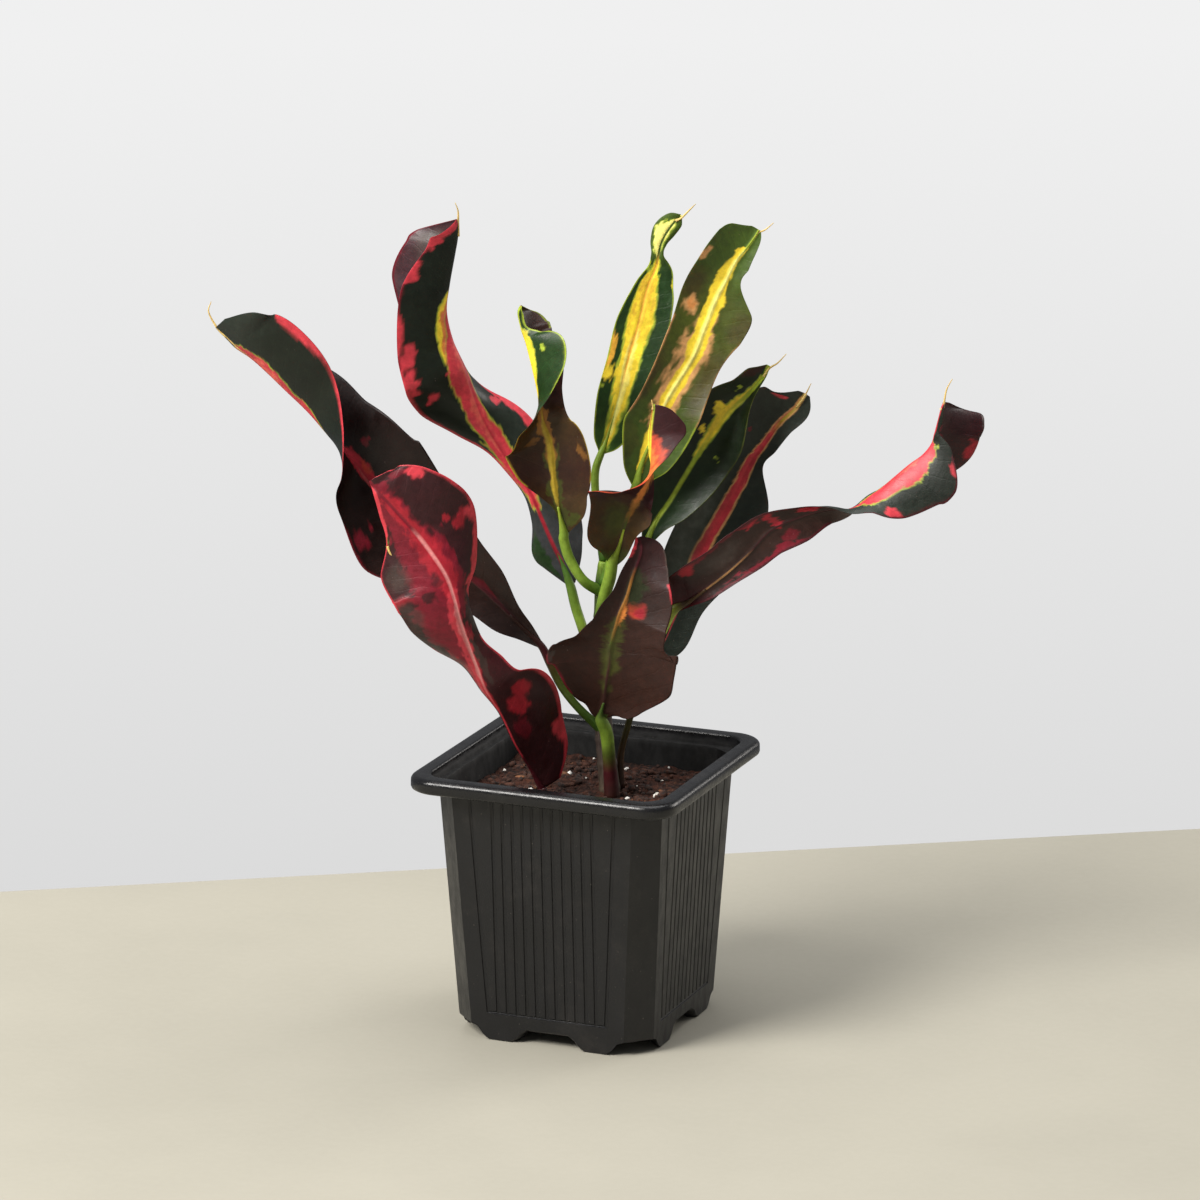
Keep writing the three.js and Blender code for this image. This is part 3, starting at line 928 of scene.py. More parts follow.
    @staticmethod
    def blend(colour: np.ndarray, tint: Tint, share: np.ndarray) -> np.ndarray:
        """Lays a share of one colour over the paint."""
        return colour + (linear(tint.value) - colour) * share[..., None]

    @staticmethod
    def shades(keys: tuple[tuple[float, Tint], ...], at: np.ndarray) -> np.ndarray:
        """Reads a row of colours at positions along it.

        Args:
            keys: places and the colour at each.
            at: the positions.

        Returns:
            A linear colour for each position.
        """
        places = [key[0] for key in keys]
        colours = np.array([linear(key[1].value) for key in keys])
        return np.stack([np.interp(at, places, colours[:, i]) for i in range(3)], axis=-1)

    def stalk(self, skin: Skin) -> None:
        """Adds the petiole, which runs on as the raised midrib under the blade.

        Args:
            skin: the skin that it is added to.
        """
        at = np.array([1.0, 2.0])
        _, centre, _, out = self.midrib(at)
        path = np.vstack(
            [np.array(self.petiole, float)[:-1], np.array(self.stations[0][:3]), centre - out * 0.5]
        )
        body = len(self.petiole) - 1
        radii = np.concatenate([np.full(body, self.petiole_radius), [self.petiole_radius * 0.9, 0.8, 0.4]])
        radii[0] *= 1.25
        rings, place = tube(path, radii)
        share = (place / body)[:, None] + 0 * rings[..., 0]
        paint = self.shades(self.petiole_tints, share)
        skin.loft(rings, paint)

    def build(self) -> bpy.types.Object:
        """Makes the leaf, dresses it and puts it in place of its solid.

        Returns:
            The leaf.
        """
        upper, lower, along, reach = self.blade()
        skin = Skin()
        rings = np.concatenate([upper, lower[:, ::-1]], axis=1)
        paint = np.concatenate([self.coat(self.upper, 0), self.coat(self.under, 1)[:, ::-1]], axis=1)
        upper_grain = np.stack([along, reach, 1 + 0 * along], axis=-1)
        under_grain = np.stack([along, reach, -1 + 0 * along], axis=-1)[:, ::-1]
        skin.loft(rings, paint, np.concatenate([upper_grain, under_grain], axis=1))
        self.stalk(skin)
        if self.hair:
            root = [self.stations[-2][:3]] if self.hair_root else []
            path = np.array([*root, *self.hair], float)
            radii = np.linspace(0.55, 0.12, len(path))
            thread, _ = tube(path, radii, sides=6)
            paint = np.broadcast_to(linear(Tint.DRY.value), thread.shape)
            skin.loft(thread, np.array(paint))
        piece = skin.build(f"{self.name}_living", self.finish.material(f"{self.name}_skin"), PLANT_TURN)
        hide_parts(self.name)
        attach(piece, "root")
        return piece


GREEN_STALK = ((0.0, Tint.LEAF_GREEN), (0.4, Tint.FRESH_GREEN), (1.0, Tint.FRESH_GREEN), (1.6, Tint.LIME))

LEAVES = (
    Leaf(
        name="leaf_far_left",
        slot="maroon_leaf",
        stations=(
            (-16, -2, 138, 1, 1, 180, -10),
            (-21, -1, 143, 3, 4, 180, -15),
            (-27, 0, 149, 5, 8, 180, -20),
            (-36, 3, 157, 11, 10, 180, -20),
            (-48, 6, 167, 15, 15, 180, -20),
            (-62, 8, 181, 20, 24, 178, -20),
            (-76, 8, 195, 25, 17, 172, -25),
            (-82, 8, 203, 21, 14, 150, -40),
            (-90, 8, 211, 18, 16, 115, -55),
            (-98, 9, 220, 18, 19, 95, -60),
            (-106, 9, 228, 17, 24, 82, -50),
            (-116, 9, 238, 16, 25, 70, -40),
            (-122, 9, 243, 12, 22.4, 60, -30),
            (-126, 9, 247, 6, 20.5, 60, -22),
            (-129.8, 9, 250.4, 1, 7.5, 60, -20),
        ),
        petiole=((6, 0, 106), (-3, -4, 116), (-9, -4, 124), (-13, -3, 132), (-16, -2, 139)),
        petiole_radius=1.5,
        petiole_tints=((0.0, Tint.LEAF_GREEN), (0.55, Tint.OLIVE), (0.85, Tint.WINE), (1.2, Tint.BROWN)),
        hair=((-129, 9, 250), (-132, 8, 256), (-131, 7, 260)),
        upper=Face(
            ground=((0, Tint.BLACK_GREEN), (11, Tint.BLACK_GREEN), (13, Tint.SLATE)),
            rib=((0, Tint.PINK_RED), (11, Tint.PINK_RED), (12, Tint.DRY)),
            bands=(
                Band(
                    Tint.PINK_RED,
                    ((8.2, 1, 1.8), (9, 2, 4.2), (10, 3, 5.4), (11, 3, 6), (12, 2, 3.6)),
                    Tint.LIME,
                ),
                Band(Tint.CORAL, ((9.6, 0.6, 2.4), (11, 1, 3.6), (11.6, 0.6, 1.6)), ragged=2.4, strength=0.7),
            ),
            hems=(
                Band(
                    Tint.PINK_RED,
                    ((7, 0.6, 0.6), (10, 0.6, 0.7), (10.7, 0.5, 2.2), (11.3, 0.3, 2.4), (11.6, 0.3, 1)),
                    ragged=0.5,
                    soft=1.5,
                ),
            ),
        ),
        under=Face(
            ground=((0, Tint.GREY_BROWN), (1.5, Tint.UMBER), (3.5, Tint.UMBER), (5, Tint.BLACK_BROWN)),
            rib=((0, Tint.BLACK_BROWN), (3, Tint.WINE), (5, Tint.SCARLET), (9, Tint.SCARLET)),
            bands=(
                Band(Tint.SCARLET, ((5.6, 1.6, 1), (6.2, 3.2, 2), (7, 3.6, 2.2), (7.6, 2, 1)), ragged=1.4),
                Band(Tint.CRIMSON, ((2.4, 1.4, 0), (3.3, 1.8, 0)), ragged=1.4, strength=0.6),
            ),
            hems=(
                Band(Tint.CRIMSON, ((3.5, 0, 0.6), (5.6, 0, 0.8))),
                Band(Tint.SCARLET, ((6.8, 0, 0.8), (8.4, 0, 0.8))),
            ),
            patches=(
                Patch(Tint.CRIMSON, 7.1, -0.46, 0.13, 0.07),
                Patch(Tint.CRIMSON, 5.35, 0.82, 0.2, 0.12),
                Patch(Tint.CRIMSON, 5.5, 0.55, 0.08, 0.05),
                Patch(Tint.RED_ORANGE, 6.5, -0.1, 0.35, 0.06, 0.5),
            ),
        ),
    ),
    Leaf(
        name="leaf_tall_left",
        slot="charcoal_leaf",
        stations=(
            (-6, 11, 157, 1, 2, 0, -10),
            (-9, 12, 165, 7, 8, 0, -15),
            (-12, 13, 171, 9, 12, 0, -20),
            (-16, 15, 180, 5, 14, 10, -25),
            (-20, 17, 189, 4, 14, 15, -30),
            (-26, 18, 198, 4, 15, 5, -25),
            (-31, 18, 206, 6, 16, -5, -25),
            (-36, 17, 215, 12, 14, -20, -25),
            (-40, 16, 225, 20, 11, -45, -35),
            (-43, 15, 235, 24, 17, -70, -45),
            (-47, 15, 245, 23, 20, -85, -55),
            (-49, 15, 255, 20, 20, -90, -58),
            (-48, 16, 264, 18, 24, -90, -60),
            (-46, 17, 275, 12, 21, -90, -60),
            (-45, 18, 281, 10, 18, -90, -55),
            (-45, 18, 287, 1, 1, -90, -40),
        ),
        petiole=((5, 0, 119), (1, 6, 133), (-1, 8, 140), (-4, 10, 149), (-6, 11, 158)),
        petiole_radius=1.8,
        petiole_tints=(
            (0.0, Tint.MAROON), (0.4, Tint.OLIVE_BROWN), (0.6, Tint.FRESH_GREEN), (1.2, Tint.LEAF_GREEN)
        ),
        hair=((-45, 18, 286), (-45, 18, 290), (-46, 18, 293)),
        upper=Face(
            ground=((0, Tint.CHARCOAL), (2.5, Tint.CHARCOAL), (5, Tint.SLATE), (7.5, Tint.BLACK_GREEN)),
            rib=(
                (0, Tint.CRIMSON),
                (4, Tint.SCARLET),
                (7, Tint.PINK_RED),
                (11.5, Tint.PINK_RED),
                (12, Tint.BLACK_GREEN),
            ),
            bands=(
                Band(
                    Tint.YELLOW,
                    ((9.3, 9, 0), (10, 9.6, 0), (10.5, 8.4, 0), (11, 6, 0), (11.6, 3, 0)),
                    Tint.LIME,
                    soft=2,
                ),
                Band(
                    Tint.ORANGE,
                    ((9.2, 9, 0), (10, 8.2, 0), (10.5, 6.8, 0), (11, 4.2, 0), (11.5, 1.4, 0)),
                    ragged=2.4,
                    soft=2,
                ),
                Band(
                    Tint.CORAL,
                    ((9.2, 8, 0), (10, 6.6, 0), (10.6, 4, 0), (11.2, 1.4, 0)),
                    ragged=3.2,
                    strength=0.8,
                    soft=2,
                ),
                Band(
                    Tint.PINK_RED,
                    (
                        (3.6, 2, 1.6),
                        (6, 3.6, 3.6),
                        (7, 5, 2.6),
                        (8, 7.4, 2),
                        (9, 9.6, 2),
                        (9.5, 8.2, 2),
                        (10.1, 4.4, 1),
                        (11, 1.6, 1),
                    ),
                    Tint.LIME,
                    soft=2,
                ),
                Band(Tint.CORAL, ((6.4, 2, 1), (8, 3, 1), (9.4, 5, 1)), ragged=3.4, strength=0.6, soft=4),
            ),
            hems=(
                Band(
                    Tint.PINK_RED,
                    ((4.5, 0.8, 0.6), (6.2, 0.8, 3.4), (7.2, 0.9, 1.6), (8, 0.8, 0.6), (10, 0.6, 0.3)),
                    ragged=0.6,
                ),
                Band(Tint.CRIMSON, ((10, 0.4, 0.3), (13, 0.3, 0.3))),
                Band(Tint.PINK_RED, ((13, 0.6, 0.4), (13.5, 3.8, 0.6), (14.6, 3, 0.8)), soft=2),
                Band(Tint.PINK_RED, ((11.9, 0.8, 0), (12.2, 2.2, 0), (12.5, 1.2, 0)), soft=2),
                Band(Tint.PINK_RED, ((10.5, 1.6, 0), (10.9, 1.5, 0)), soft=2),
            ),
            patches=(
                Patch(Tint.PINK_RED, 10.05, -0.87, 0.32, 0.13),
                Patch(Tint.PINK_RED, 9.45, -0.93, 0.22, 0.11),
                Patch(Tint.PINK_RED, 9.0, -0.95, 0.2, 0.1),
                Patch(Tint.PINK_RED, 8.4, -0.72, 0.2, 0.09),
                Patch(Tint.PINK_RED, 8.9, -0.36, 0.08, 0.035),
                Patch(Tint.PINK_RED, 7.3, 0.7, 0.16, 0.14),
                Patch(Tint.DEEP_GREEN, 1.5, -0.75, 1.2, 0.3, 0.9),
            ),
        ),
        under=Face(
            ground=((0, Tint.BROWN), (8, Tint.PLUM)),
            rib=((0, Tint.CRIMSON),),
            hems=(
                Band(Tint.PINK_RED, ((0, 0.5, 0.5), (10, 0.5, 0.4))),
                Band(Tint.CRIMSON, ((10, 0.3, 0.4), (15, 0.6, 0.6))),
            ),
            patches=(Patch(Tint.GREY_BROWN, 13.4, 0.6, 1.0, 0.3, 0.8, 3),),
        ),
    ),
    Leaf(
        name="leaf_red_front",
        slot="crimson_leaf",
        stations=(
            (-16, -6, 87, 2, 8, 30, -40),
            (-20, -9, 95, 5, 17, 30, -50),
            (-25, -14, 105, 7, 21, 30, -55),
            (-30, -20, 118, 9, 22, 30, -55),
            (-35, -25, 128, 8, 14, 25, -42),
            (-38, -28, 137, 9, 10, 12, -35),
            (-41, -30, 146, 14, 6, -5, -28),
            (-44, -32, 156, 18, 7, -24, -30),
            (-46, -32, 164, 20.4, 8, -23, -26),
            (-49, -31, 172, 21.4, 15, -17, -21),
            (-56, -29, 182, 20, 22, -6, -14),
            (-62, -28, 189, 10.5, 22, 3, -10),
            (-67.5, -27, 195, 6, 19, 5, -8),
            (-71.5, -26, 199.2, 2.6, 15.2, 5, -6),
            (-73.6, -25, 201.6, 1, 11.8, 5, -4),
            (-74.5, -25, 202.8, 0.6, 8, 5, -2),
            (-75, -25, 203.5, 0.5, 3, 5, 0),
        ),
        petiole=((-15, -6, 83.6), (-16, -6, 87), (-18, -7, 91)),
        petiole_radius=1.6,
        petiole_tints=((0.0, Tint.BROWN), (1.0, Tint.WINE)),
        hair=((-69, -26, 180.5), (-68, -26.5, 178), (-66, -27, 176.5), (-65, -27, 176.8)),
        hair_root=False,
        upper=Face(
            ground=(
                (0, Tint.MAROON),
                (3.5, Tint.MAROON),
                (5, Tint.WINE),
                (6.5, Tint.UMBER),
                (8, Tint.MAROON),
                (12, Tint.MAROON),
            ),
            rib=(
                (0, Tint.SCARLET),
                (3, Tint.PINK_RED),
                (5, Tint.ROSE),
                (10.2, Tint.ROSE),
                (10.8, Tint.CRIMSON),
            ),
            rib_width=0.55,
            bands=(
                Band(
                    Tint.SCARLET,
                    ((3.2, 1.5, 0.8), (4.6, 5, 1.2), (6, 9, 1.5), (7.4, 10, 3), (8.6, 9, 4), (9, 7, 5)),
                    ragged=2.4,
                ),
                Band(
                    Tint.CRIMSON,
                    (
                        (6.6, 13, 2),
                        (7.8, 16, 5),
                        (9, 14, 6),
                        (10, 12, 5),
                        (11, 9, 5),
                        (12, 5, 5),
                        (13.4, 2, 6),
                    ),
                    ragged=2.8,
                    soft=2,
                ),
                Band(
                    Tint.SCARLET,
                    ((8.4, 3, 3), (9.4, 5, 3.6), (10.4, 3, 3.5), (11.4, 2, 3.6), (12.6, 1, 3)),
                    ragged=2.2,
                    soft=2,
                ),
                Band(
                    Tint.PINK_RED,
                    ((3.8, 1.6, 0.6), (5.6, 3, 0.8), (7, 3.4, 1), (8.2, 1.6, 1.6)),
                    ragged=1.6,
                    strength=0.75,
                ),
                Band(
                    Tint.ROSE, ((4.6, 0.8, 0.5), (6.8, 1.4, 0.5), (7.6, 0.8, 0.5)), ragged=1.2, strength=0.5
                ),
            ),
            hems=(
                Band(
                    Tint.PINK_RED,
                    ((0, 0.6, 0.5), (1, 0.6, 1.1), (3, 0.7, 0.9), (3.6, 0.7, 0.3), (6, 0.3, 0.3)),
                    ragged=0.5,
                ),
                Band(
                    Tint.PINK_RED,
                    ((7.8, 0.4, 0.5), (8.3, 0.4, 2.4), (9, 0.4, 2.6), (9.6, 0.4, 0.9)),
                    ragged=1.4,
                ),
                Band(
                    Tint.PINK_RED,
                    ((9.4, 0.4, 0.8), (11, 0.5, 0.7), (11.4, 1.4, 0.6), (13, 1.6, 0.6), (16, 0.6, 0.6)),
                    ragged=0.5,
                ),
            ),
            patches=(
                Patch(Tint.SCARLET, 3.05, 0.42, 0.34, 0.2),
                Patch(Tint.SCARLET, 3.45, 0.66, 0.28, 0.16),
                Patch(Tint.CRIMSON, 2.3, 0.3, 0.34, 0.16, 0.7),
                Patch(Tint.PINK_RED, 1.5, 0.9, 0.34, 0.13),
                Patch(Tint.SCARLET, 10.0, 0.72, 0.2, 0.13),
                Patch(Tint.PINK_RED, 9.9, 0.92, 0.2, 0.12),
                Patch(Tint.SCARLET, 10.3, 0.55, 0.12, 0.08),
                Patch(Tint.PINK_RED, 12.5, 0.85, 0.5, 0.17),
                Patch(Tint.CRIMSON, 13.4, 0.7, 0.5, 0.25, 0.8),
                Patch(Tint.MAROON, 12.6, 0.45, 0.5, 0.25, 0.7, 2),
                Patch(Tint.MAROON, 8.3, -0.42, 0.3, 0.13, 0.85),
                Patch(Tint.MAROON, 8.9, -0.2, 0.2, 0.12, 0.6),
                Patch(Tint.GREY_BROWN, 9.7, -0.72, 0.45, 0.22, 0.7, 3),
                Patch(Tint.SCARLET, 8.6, -0.86, 0.4, 0.16, 0.7, 3),
                Patch(Tint.GREY_BROWN, 7.6, -0.85, 0.8, 0.16, 0.6, 3),
                Patch(Tint.GREY_BROWN, 5.4, -0.8, 0.8, 0.2, 0.6, 3),
                Patch(Tint.GREY_BROWN, 5.3, 0.3, 1.0, 0.16, 0.6),
                Patch(Tint.CRIMSON, 10.1, 0.4, 0.08, 0.05),
                Patch(Tint.LEAF_GREEN, 10.95, -0.96, 0.12, 0.08, 0.9),
            ),
        ),
        under=Face(
            ground=((0, Tint.MAROON),),
            rib=((0, Tint.CRIMSON),),
            hems=(Band(Tint.PINK_RED, ((0, 0.6, 0.6), (15, 1, 1))),),
        ),
    ),
    Leaf(
        name="leaf_gold_left",
        slot="olive_leaf",
        stations=(
            (-8, -5, 180, 2, 1, 178, -10),
            (-9, -6, 185, 8, 1, 180, -20),
            (-10, -7, 190, 11, 2, 180, -22),
            (-11, -7, 195, 13, 6, 180, -25),
            (-12, -8, 204, 15, 14, 180, -25),
            (-13, -8, 213, 14, 17, 180, -25),
            (-15, -8, 219, 11, 12, 170, -30),
            (-16, -8, 224, 9, 9, 145, -45),
            (-17, -7, 230, 9, 9, 115, -55),
            (-19, -6, 239, 12, 15, 98, -60),
            (-21, -5, 247, 11, 15.5, 89, -60),
            (-22, -4.5, 250, 12, 7, 80, -62),
            (-23, -4, 253, 12.5, 2.5, 70, -65),
            (-24, -3, 258, 11, 2, 60, -60),
            (-23, -3, 261, 0.6, 0.5, 60, -50),
        ),
        petiole=((6, 0, 157), (-1, -3, 162), (-6, -3, 170), (-8, -4, 177), (-8, -5, 184)),
        petiole_radius=1.8,
        petiole_tints=GREEN_STALK,
        upper=Face(
            ground=((0, Tint.DEEP_GREEN),),
            rib=((0, Tint.PALE_YELLOW), (9, Tint.YELLOW), (13, Tint.LIME)),
            bands=(
                Band(
                    Tint.YELLOW,
                    ((7.4, 1, 0.9), (8.2, 1.4, 2.2), (9, 2, 4.2), (10, 2, 4.8), (11, 1.6, 3), (12, 1, 1)),
                    Tint.LIME,
                    soft=1.5,
                ),
            ),
            hems=(Band(Tint.LIME, ((8, 0.2, 0.2), (14, 0.4, 0.3))),),
            patches=(Patch(Tint.LIME, 9.75, 0.6, 0.13, 0.08),),
        ),
        under=Face(
            ground=(
                (0, Tint.OLIVE_BROWN),
                (2, Tint.OLIVE_BROWN),
                (4, Tint.BROWN),
                (6, Tint.OLIVE_BROWN),
                (8, Tint.BROWN),
            ),
            rib=((0, Tint.LEAF_GREEN), (1.5, Tint.OLIVE), (3, Tint.GOLD), (6, Tint.GOLD), (8, Tint.OCHRE)),
            rib_width=0.5,
            bands=(
                Band(
                    Tint.OLIVE, ((0, 2, 1), (1.5, 3, 1.5), (3, 2.6, 2.4), (5, 2, 2)), ragged=2, strength=0.7
                ),
                Band(
                    Tint.OCHRE, ((3.2, 0.8, 0.8), (4.4, 1.4, 1.6), (5.6, 2.2, 2.2), (7, 3, 2.4)), ragged=1.5
                ),
                Band(
                    Tint.GOLD,
                    ((2.2, 0.7, 0.6), (4, 1.3, 1.3), (5.6, 1.1, 1.2), (6.4, 0.6, 0.6)),
                    ragged=0.8,
                ),
            ),
            hems=(
                Band(Tint.GOLD, ((3.6, 0.2, 0.5), (6.4, 0.2, 0.6))),
                Band(Tint.LIME, ((11, 0.3, 0.4), (14, 0.3, 0.4))),
            ),
            patches=(
                Patch(Tint.OCHRE, 5.35, 0.4, 0.22, 0.16, 0.5),
                Patch(Tint.OLIVE, 0.9, -0.6, 0.5, 0.3, 0.8),
                Patch(Tint.OCHRE, 4.6, -0.85, 0.3, 0.1, 0.5),
            ),
        ),
    ),
    Leaf(
        name="leaf_yellow_narrow",
        slot="yellow_leaf",
        stations=(
            (5, 10, 205, 1, 1, 0, 10),
            (7, 11, 210, 5, 6, 0, 10),
            (11, 13, 223, 8, 11, 0, 10),
            (14, 15, 236, 7.5, 10.5, 0, 10),
            (18, 17, 250, 8, 11, 0, 10),
            (21, 19, 262, 5, 10, 0, 10),
            (24, 20, 269, 3, 6.6, 0, 8),
            (25, 20, 274, 2.6, 2, 0, 0),
            (26, 21, 278, 4, 2, 0, -5),
            (28, 21, 282, 5.1, 3, 0, -8),
            (31, 21, 286, 3.8, 2.8, 0, -5),
            (33, 21, 288, 0.5, 0.5, 0, 0),
        ),
        petiole=((6, 2, 168), (4, 6, 181), (3, 7, 191), (3, 9, 199), (5, 10, 206)),
        petiole_radius=1.4,
        petiole_tints=GREEN_STALK,
        hair=((33, 21, 287), (36, 21, 290), (38, 21, 292)),
        upper=Face(
            ground=((0, Tint.LEAF_GREEN), (2, Tint.DEEP_GREEN), (6, Tint.DEEP_GREEN), (7, Tint.MOSS)),
            rib=((0, Tint.LIME), (2, Tint.PALE_YELLOW), (3, Tint.AMBER), (6, Tint.AMBER), (7.2, Tint.MOSS)),
            rib_width=0.4,
            bands=(
                Band(
                    Tint.YELLOW,
                    (
                        (0.2, 0.4, 0.8),
                        (1, 0.8, 1.2),
                        (2, 2, 3.2),
                        (3, 3.1, 4.2),
                        (4, 3.9, 5),
                        (5, 3.2, 3.2),
                        (6, 1.4, 1),
                        (6.6, 0.4, 0.4),
                    ),
                    Tint.LIME,
                    ragged=0.9,
                ),
                Band(
                    Tint.PALE_YELLOW,
                    ((1.2, 0.5, 1), (2.4, 0.8, 1.8), (3.6, 1.2, 2)),
                    ragged=1.5,
                    strength=0.6,
                ),
                Band(Tint.AMBER, ((3.6, 2, 2.2), (5.4, 2, 1.6)), ragged=2.4, strength=0.5),
                Band(
                    Tint.PALE_YELLOW,
                    ((7.2, 2, 0), (8, 3, 0.4), (9, 3.6, 1), (9.7, 2.4, 0.6), (10, 0.8, 0)),
                    Tint.LIME,
                    soft=1.5,
                ),
            ),
            hems=(Band(Tint.LIME, ((0, 0.3, 0.3), (6.5, 0.4, 0.3))),),
            patches=(
                Patch(Tint.AMBER, 3.25, -1.0, 0.42, 0.3),
                Patch(Tint.YELLOW, 2.75, -0.75, 0.2, 0.22),
                Patch(Tint.LIME, 2.3, -0.9, 0.12, 0.12),
                Patch(Tint.YELLOW, 5.5, 0.95, 0.25, 0.14),
            ),
        ),
        under=Face(
            ground=((0, Tint.LEAF_GREEN),),
            rib=((0, Tint.PALE_YELLOW),),
        ),
    ),
    Leaf(
        name="leaf_tall_right",
        slot="green_leaf",
        stations=(
            (17, 4, 194, 1, 1, 180, 0),
            (19, 5, 202, 9, 7, 180, -15),
            (24, 6, 214, 12.5, 12.5, 180, -15),
            (28, 7, 225, 14, 10.5, 180, -20),
            (37, 8, 240, 10.5, 13, 175, -15),
            (41, 9, 250, 14, 12.5, 180, -15),
            (45, 10, 260, 14.5, 13, 185, -15),
            (49, 10, 268, 5.5, 13.8, 180, -20),
            (52, 10, 274, 5.5, 13.2, 178, -20),
            (56, 10, 279, 3.8, 12.6, 180, -18),
            (58.5, 10, 282.5, 2.5, 10, 180, -15),
            (60, 10, 285, 0.8, 3, 180, -10),
        ),
        petiole=((6, -1, 160), (10, 0, 173), (13, 3, 184), (17, 4, 196)),
        petiole_radius=1.8,
        petiole_tints=GREEN_STALK,
        hair=((59.5, 10, 284), (62, 10, 285), (65, 10, 287.5)),
        upper=Face(
            ground=((0, Tint.DEEP_GREEN),),
            rib=((0, Tint.YELLOW),),
            bands=(Band(Tint.YELLOW, ((1, 3, 3), (5, 3, 4), (8.5, 1, 2)), Tint.LIME),),
            hems=(Band(Tint.LIME, ((0, 0.5, 0.5), (11, 0.5, 0.5))),),
        ),
        under=Face(
            ground=(
                (0, Tint.MOSS),
                (2, Tint.MOSS),
                (3.5, Tint.OLIVE),
                (6, Tint.OLIVE),
                (7.5, Tint.MOSS),
                (11, Tint.MOSS),
            ),
            rib=((0, Tint.LIME), (1.5, Tint.PALE_YELLOW), (8, Tint.PALE_YELLOW), (9, Tint.LIME)),
            rib_width=0.45,
            bands=(
                Band(
                    Tint.PEACH,
                    ((2.2, 5, 4), (3, 4.8, 4), (4, 3.4, 5), (4.8, 2.8, 5), (5.6, 2.6, 3)),
                    ragged=2.2,
                    soft=3.5,
                ),
                Band(
                    Tint.YELLOW,
                    (
                        (0.8, 1, 1.6),
                        (2, 2, 3),
                        (3, 2.6, 2.2),
                        (4, 1.9, 3),
                        (5, 2.4, 3.8),
                        (6, 3, 3),
                        (7, 1.2, 3.6),
                        (8, 0.8, 2.8),
                        (8.9, 0.5, 0.8),
                    ),
                    ragged=1.1,
                ),
                Band(Tint.PALE_YELLOW, ((3, 1, 0.9), (5, 1, 1.2), (8, 0.4, 0.9)), ragged=0.8, strength=0.5),
            ),
            hems=(
                Band(Tint.TAN, ((2.4, 0.2, 0.5), (5, 0.2, 0.5))),
                Band(Tint.LIME, ((0, 0.2, 0.3), (2.4, 0.3, 0.4))),
            ),
            patches=(
                Patch(Tint.OLIVE_BROWN, 3.6, -0.8, 0.9, 0.4, 0.6, 3),
                Patch(Tint.OLIVE_BROWN, 5.4, -0.85, 0.6, 0.3, 0.5, 3),
                Patch(Tint.OLIVE_BROWN, 3.4, 0.85, 0.6, 0.2, 0.5, 3),
                Patch(Tint.OLIVE_BROWN, 6.3, 0.7, 0.8, 0.3, 0.6, 3),
                Patch(Tint.OLIVE_BROWN, 1.6, 0.7, 0.5, 0.25, 0.35),
                Patch(Tint.PEACH, 5.55, 0.62, 0.26, 0.17, 1, 2),
                Patch(Tint.ORANGE, 5.6, 0.62, 0.12, 0.1, 0.6, 3),
                Patch(Tint.PEACH, 7.75, 0.88, 0.22, 0.13, 1, 2),
            ),
        ),
    ),
    Leaf(
        name="leaf_cup",
        slot="olive_leaf",
        stations=(
            (9, -8, 170, 2, 2, 180, -10),
            (11, -9, 175, 4, 9, 180, -30),
            (13, -11, 183, 6, 17, 178, -40),
            (15, -12, 189, 9, 18.5, 176, -36),
            (17.3, -12.5, 193.2, 7.5, 24, 172, -34),
            (19, -13, 196, 5, 13.5, 165, -38),
            (22, -13, 203, 1.5, 4, 120, -30),
            (22, -13, 210, 0.8, 8, 50, -12),
            (22, -12, 217, 0.8, 12, 25, -10),
            (22.5, -12, 222, 0.6, 12, 20, -10),
            (23, -12, 226, 0.5, 7.5, 20, -8),
            (23, -12, 228, 0.4, 0.5, 20, 0),
        ),
        petiole=((5, -1, 146), (6, -5, 156), (8, -7, 164), (9, -8, 172)),
        petiole_radius=2.2,
        petiole_tints=GREEN_STALK,
        hair=((23, -12, 227), (22.5, -12, 229.5)),
        finish=LeafFinish(roughness=0.55, coat=0),
        upper=Face(
            ground=((0, Tint.DEEP_GREEN), (3, Tint.MAROON)),
            rib=((0, Tint.YELLOW), (4, Tint.RED_ORANGE), (6, Tint.YELLOW), (10, Tint.LIME)),
            bands=(
                Band(
                    Tint.RED_ORANGE,
                    ((4, 2, 2.6), (6, 2, 6), (7, 2, 8), (7.5, 2, 5), (8, 1, 2)),
                    ragged=2,
                    soft=5,
                ),
                Band(Tint.ORANGE, ((5, 1, 2), (6, 1, 4), (6.8, 1, 4)), ragged=2.4, strength=0.7, soft=5),
            ),
            hems=(
                Band(Tint.YELLOW, ((5.5, 1, 0), (9.6, 0.8, 0))),
                Band(Tint.RED_ORANGE, ((2.4, 0, 1.4), (5.6, 0, 1.4)), soft=2),
            ),
        ),
        under=Face(
            ground=((0, Tint.MOSS), (1.2, Tint.OLIVE_BROWN), (3, Tint.OLIVE_BROWN), (4.5, Tint.MAROON)),
            rib=(
                (0, Tint.OLIVE),
                (2.4, Tint.OLIVE),
                (3.4, Tint.OCHRE),
                (5, Tint.ORANGE),
                (7, Tint.RED_ORANGE),
            ),
            rib_width=0.5,
            bands=(
                Band(Tint.OCHRE, ((2.4, 0.8, 0.8), (4, 1.5, 1.5), (6, 1.4, 1.6)), ragged=1, soft=2),
                Band(Tint.ORANGE, ((4, 0.6, 0.8), (5, 1, 1.6), (6.4, 1, 2)), ragged=1.4, soft=2),
            ),
            hems=(Band(Tint.CRIMSON, ((3.8, 0, 1), (5.6, 0, 1.2)), soft=2),),
            patches=(
                Patch(Tint.PLUM, 3.9, 0.85, 0.5, 0.25, 0.8, 2), Patch(Tint.MOSS, 2.4, 0.3, 0.9, 0.3, 0.5, 3)
            ),
        ),
    ),
    Leaf(
        name="leaf_right_green",
